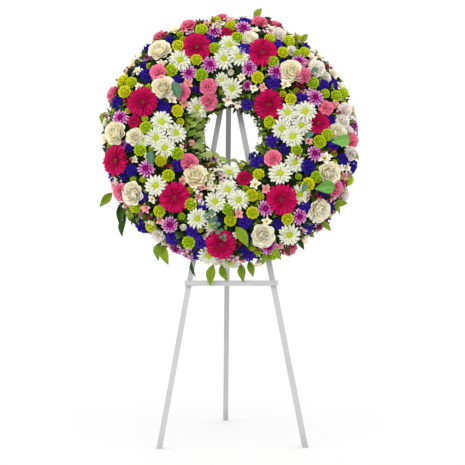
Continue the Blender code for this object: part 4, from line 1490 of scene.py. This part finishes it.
LIGHT_SPANS = [
    ((255, 22), (262, 7)), ((301, 44), (308, 33)), ((112, 193), (100, 207)), ((106, 112), (102, 125)),
    ((161, 242), (158, 261)), ((163, 245), (168, 265)), ((213, 265), (210, 286)),
    ((221, 265), (227, 281)), ((241, 264), (243, 282)), ((266, 252), (262, 265)),
    ((236, 227), (248, 247)), ((333, 204), (348, 203)), ((332, 205), (340, 214)),
    ((320, 222), (331, 231)), ((349, 152), (359, 160)), ((272, 247), (281, 260)),
    ((128, 207), (134, 222)), ((134, 220), (127, 217)), ((249, 261), (253, 277))]
INNER_SPANS = [
    ((205, 146), (192, 150)), ((204, 151), (193, 143)), ((211, 158), (199, 154)),
    ((203, 118), (194, 124)), ((205, 124), (195, 131)), ((204, 132), (193, 138)),
    ((205, 139), (194, 146)), ((199, 112), (189, 117)), ((206, 150), (211, 161)),
    ((211, 153), (221, 161)), ((217, 158), (229, 164)), ((196, 130), (187, 137)),
    ((228, 161), (240, 165)), ((204, 127), (200, 116)), ((204, 142), (201, 132)),
    ((198, 122), (189, 128)), ((207, 154), (198, 160)), ((222, 161), (214, 166)),
    ((208, 112), (200, 108)), ((214, 108), (222, 103)), ((198, 119), (188, 116)),
    ((193, 124), (186, 119)), ((197, 135), (187, 133)), ((200, 147), (191, 148)),
    ((196, 128), (190, 120)), ((216, 163), (207, 168))]
DARK_SPANS = [
    ((298, 239), (304, 250)), ((126, 219), (122, 237)), ((124, 203), (119, 213)),
    ((120, 205), (120, 225)), ((127, 206), (124, 222)), ((132, 211), (137, 226)),
    ((137, 216), (131, 225)), ((262, 20), (272, 18)), ((265, 22), (273, 26)), ((176, 219), (190, 218)),
    ((145, 60), (144, 50))]
SLIM_SPANS = [
    ((284, 246), (290, 257)), ((191, 262), (195, 277)), ((200, 24), (194, 19)), ((213, 24), (213, 15))]
BROAD_SPANS = [((332, 142), (350, 139)), ((315, 189), (335, 187))]
EUCALYPTUS_SPANS = [
    ((178, 99), (173, 81)), ((152, 165), (150, 150)), ((302, 192), (306, 182)), ((311, 74), (318, 68)),
    ((306, 138), (314, 132))]
TWIG_SPANS = [((206, 210), (225, 241))]
TINY_WHITE_AT = [
    (205, 170), (212, 176), (208, 184), (216, 169), (202, 178), (213, 190), (197, 192), (200, 200),
    (221, 163), (150, 221), (126, 212), (268, 28), (277, 30), (329, 168), (322, 212), (329, 214),
    (310, 218), (216, 26), (222, 23)]
MAROON_AT = [
    (297, 85), (304, 88), (300, 92), (169, 166), (131, 160), (298, 156), (334, 152), (320, 197),
    (310, 196), (241, 267), (321, 152), (243, 87), (123, 158), (165, 249), (119, 215), (207, 165)]

NEAR_SIDE = (-20, 145)
HOLE_SIDE = (118, 175)
INNER_EDGE = (122, 200)
INNER_BACK = (145, 200)
FACING = (-20, 128)
OUTSIDE_BACK = (0.314, 0.372)
INSIDE_BACK = (0.125, 0.165)

dark = scatter(DARK_LEAVES, 1400, 42, above=(-12, 0), lie=(0.05, 0.9), size=(0.65, 1.0), between=NEAR_SIDE)
dark += scatter(DARK_LEAVES, 360, 42, above=(-26, -8), lie=(0.05, 0.5), size=(0.5, 0.8), between=INNER_BACK)
dark += back_leaves(350, *OUTSIDE_BACK) + back_leaves(120, *INSIDE_BACK)
dark += pointing([OUTER_DARK_LEAF], DARK_SPANS, 42, 10) + pointing([OUTER_SLIM_LEAF], SLIM_SPANS, 42, 10)
light = scatter(LIGHT_LEAVES, 420, 38, above=(-4, 6), lie=(0.3, 1.2), size=(0.5, 0.9))
light += scatter(LIGHT_LEAVES, 160, 38, above=(-16, 4), lie=(0.2, 1.1), size=(0.4, 0.7), between=HOLE_SIDE)
light += pointing([OUTER_LIGHT_LEAF], LIGHT_SPANS, 38, 14) + pointing(PALE_LEAVES, INNER_SPANS, 38, 26)
ferns = scatter(FERNS, 150, 46, above=(-20, -2), lie=(0.1, 1.0), size=(0.6, 0.9), between=INNER_EDGE)
wax = upright(WAX_CLUSTERS, 70, 7, 26, FACING) + seen_clusters(WAX_CLUSTERS[1::2], TINY_WHITE_AT, 28)
buds = upright(BUD_CLUSTERS, 55, 6, 26, FACING) + seen_clusters(BUD_CLUSTERS, MAROON_AT, 28)
sprays = pointing([OVAL_LEAF], EUCALYPTUS_SPANS, 40, 42) + pointing([EUCALYPTUS[0]], TWIG_SPANS, 84, 34)
broad = pointing([FAN_LEAF], BROAD_SPANS, 50, 30)
leafage = [
    ("light_leaves", "light_leaf", light), ("ferns", "light_leaf", ferns), ("wax_flowers", "filler", wax),
    ("maroon_buds", "filler", buds), ("eucalyptus", "eucalyptus", sprays),
    ("broad_leaves", "light_leaf", broad)]

for number, copies in by_eighth(dark).items():
    piece(f"foliage_{number}", copies, "foliage", f"foliage_clump_{number}")
for label, slot, copies_at in leafage:
    print(label, len(copies_at))
    for number, copies in by_eighth(copies_at).items():
        if copies:
            piece(f"{label}_{number}", copies, slot)

# %% [markdown]
# ## The easel and the ring
# The legs, crossbar and head are painted softwood. The paint is a satin light grey-white, with the grain
# just telling through it and some scuffs close to the floor. The screws, the hinge and the wire are zinc
# plated, the backing is moulded, and the foam is a crumbly green.


# %% Finishes of the easel
GRAIN_LONG = 30
SCUFFS_LOW = 16.0


def paint(name, along):
    """Grey-white satin paint over grain that runs along a direction."""
    material, wire = new_finish(name)
    place = wire.place()
    turn = Vector((0, 0, 1)).rotation_difference(along).to_euler()
    laid = wire.node(
        "ShaderNodeMapping", {"vector_type": "TEXTURE"},
        {"Vector": place, "Rotation": turn, "Scale": (1, 1, GRAIN_LONG)})
    grain = laid.noise(420.0, 3.0)
    cloud = place.noise(9.0, 4.0)
    height = wire.node("ShaderNodeSeparateXYZ", inputs={0: place}, output="Z")
    scuffed = wire.maths("MAXIMUM", 1.0 - height * SCUFFS_LOW, 0.0) * cloud
    colour = (grain * 0.4 + cloud * 0.5).mix((0.60, 0.60, 0.60, 1), (0.40, 0.40, 0.41, 1))
    colour = (scuffed * 0.7).mix(colour, (0.34, 0.325, 0.30, 1))
    feed(material, Base_Color=colour, Roughness=cloud * 0.25 + 0.3, Normal=grain.bump(0.25, 0.3))
    return material


def plated(name):
    """Zinc plating, brushed and slightly dull."""
    material, wire = new_finish(name, Metallic=1.0)
    spangle = wire.place().noise(600.0, 2.0)
    colour = spangle.mix((0.50, 0.51, 0.53, 1), (0.68, 0.69, 0.70, 1))
    feed(material, Base_Color=colour, Roughness=spangle * 0.3 + 0.22)
    return material


ZINC = plated("zinc")
BOARD = grainy_finish("backing_board", (0.030, 0.065, 0.032), (0.07, 0.125, 0.068), 160.0, roughness=0.5)
FOAM = grainy_finish(
    "floral_foam", (0.02, 0.09, 0.03), (0.06, 0.20, 0.08), 350.0, roughness=0.95, rough_by=1.0)
print("easel finishes:", ZINC.name, BOARD.name, FOAM.name)

# %% [markdown]
# ## The tray behind the foam
# The foam sits in a moulded tray. Its back has a raised rim at each edge and a third one between, joined
# by ribs, and an eyelet under each end of the wire. The rims are one section carried round: an edge
# loop is extruded and scaled from point to point of the section until it meets its start.


# %% The tray
TRAY_THICK = thick / MM
tray_across = np.hypot(*in_wreath(backing).T[:2]) / MM
TRAY_IN, TRAY_OUT = float(tray_across.min()), float(tray_across.max())
TRAY_RIM = 8.0
TRAY_PANEL = 3.0
TRAY_RIBS = 24
RIB_WIDE = 3.0
TRAY_SIDES = 96


def hoop(name, sides, section):
    """A closed ring about Z whose section passes through these (radius, height) places, in mm."""
    rest()
    bpy.ops.mesh.primitive_circle_add(
        vertices=sides, radius=section[0][0] * MM, location=(0, 0, section[0][1] * MM))
    made = shape(name, settled=True)
    for (radius, height), (wide, high) in zip(section, section[1:] + section[:1]):
        bpy.ops.mesh.extrude_edges_move(TRANSFORM_OT_translate={"value": (0, 0, (high - height) * MM)})
        stretch(wide / radius, wide / radius)
    bpy.ops.mesh.select_all(action="SELECT")
    bpy.ops.mesh.remove_doubles(threshold=0.01 * MM)
    bpy.ops.mesh.normals_make_consistent(inside=False)
    return made


def rib(name, long, wide, high):
    """A bar along X with softened edges, in mm."""
    rest()
    bpy.ops.mesh.primitive_cube_add(size=1, scale=(long * MM, wide * MM, high * MM))
    made = shape(name, settled=True)
    apply_modifier(made, "BEVEL", width=0.5 * MM, segments=1)
    return made


middle = (TRAY_IN + TRAY_OUT) / 2
half_rim = TRAY_RIM / 2
tray_rims = pattern(hoop("tray_rims", TRAY_SIDES, [
    (TRAY_IN, 0), (TRAY_IN + TRAY_RIM, 0), (TRAY_IN + TRAY_RIM, TRAY_PANEL), (middle - half_rim, TRAY_PANEL),
    (middle - half_rim, 0), (middle + half_rim, 0), (middle + half_rim, TRAY_PANEL),
    (TRAY_OUT - TRAY_RIM, TRAY_PANEL), (TRAY_OUT - TRAY_RIM, 0), (TRAY_OUT, 0), (TRAY_OUT, TRAY_THICK),
    (TRAY_IN, TRAY_THICK)]), BOARD, smooth=30)
tray_rib = pattern(rib("tray_rib", TRAY_OUT - TRAY_IN - TRAY_RIM, RIB_WIDE, TRAY_PANEL + 1), BOARD, smooth=30)
tray_eyelet = pattern(turned(
    "tray_eyelet", 20, [(7.5, 0), (8.5, 1), (8.5, TRAY_PANEL + 1)]), BOARD, smooth=30)
tray = [(tray_rims, WREATH, {"tint": 0.5})]
for number in range(TRAY_RIBS):
    turn = spun("Z", math.tau * (number + 0.5) / TRAY_RIBS)
    tray.append((tray_rib, WREATH @ turn @ moved(x=middle, z=TRAY_PANEL / 2 + 1), {"tint": 0.5}))
wire_ends = in_wreath(corners("hanging_wire"))
for side in (-1, 1):
    end = wire_ends[(wire_ends[:, 2] > 0) & (wire_ends[:, 0] * side > 0)].mean(0)
    tray.append((tray_eyelet, WREATH @ Matrix.Translation((end[0], end[1], 0)), {"tint": 0.5}))
piece("backing_tray", tray, "backing_board", "backing_ring")
print("tray from", round(TRAY_IN), "to", round(TRAY_OUT), "mm, thick", round(TRAY_THICK, 1))

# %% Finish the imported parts
for name, node in frame["nodes"].items():
    if "screw" in name or "hinge" in name or "wire" in name:
        finish = ZINC
    elif name == "foam_ring":
        finish = FOAM
    elif "leg" in name or name in ("crossbar", "head_block"):
        low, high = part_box(name)
        along = high - low
        if name == "front_leg_right":
            along.x = -along.x
        if name == "rear_leg":
            along.y = -along.y
        if name == "crossbar":
            along = Vector((1, 0, 0))
        if name == "head_block":
            along = Vector((0, 0, 1))
        finish = paint(f"{name}_paint", along.normalized())
    else:
        continue
    node.data.materials.clear()
    node.data.materials.append(finish)
print("materials:", len(bpy.data.materials))

# %% [markdown]
# ## Floor
# The floor is plain and pale and runs on into the white tent. The lamp leaves it out, because it is
# already white from the sky, so that the shade under the stand is only a very soft one.

# %% The floor
FLOOR_SIZE = 30.0
rest()
bpy.ops.mesh.primitive_plane_add(size=FLOOR_SIZE)
floor = bpy.context.object
floor.name = "floor"
floor_finish, _ = new_finish("floor", Roughness=0.9)
shader_input(floor_finish, "Base Color").default_value = (0.98, 0.98, 0.98, 1)
floor.data.materials.append(floor_finish)
floor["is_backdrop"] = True
unlit = bpy.data.collections.new("left_out_by_the_lamp")
unlit.objects.link(floor)
key.light_linking.receiver_collection = unlit
unlit.collection_objects[0].light_linking.link_state = "EXCLUDE"
print("floor", FLOOR_SIZE, "m")

# %% [markdown]
# ## Finish
# The box round everything that is shown is measured.

# %% Measure the shown box
for mesh in list(bpy.data.meshes):
    if mesh.users == 0:
        bpy.data.meshes.remove(mesh)
low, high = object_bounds()
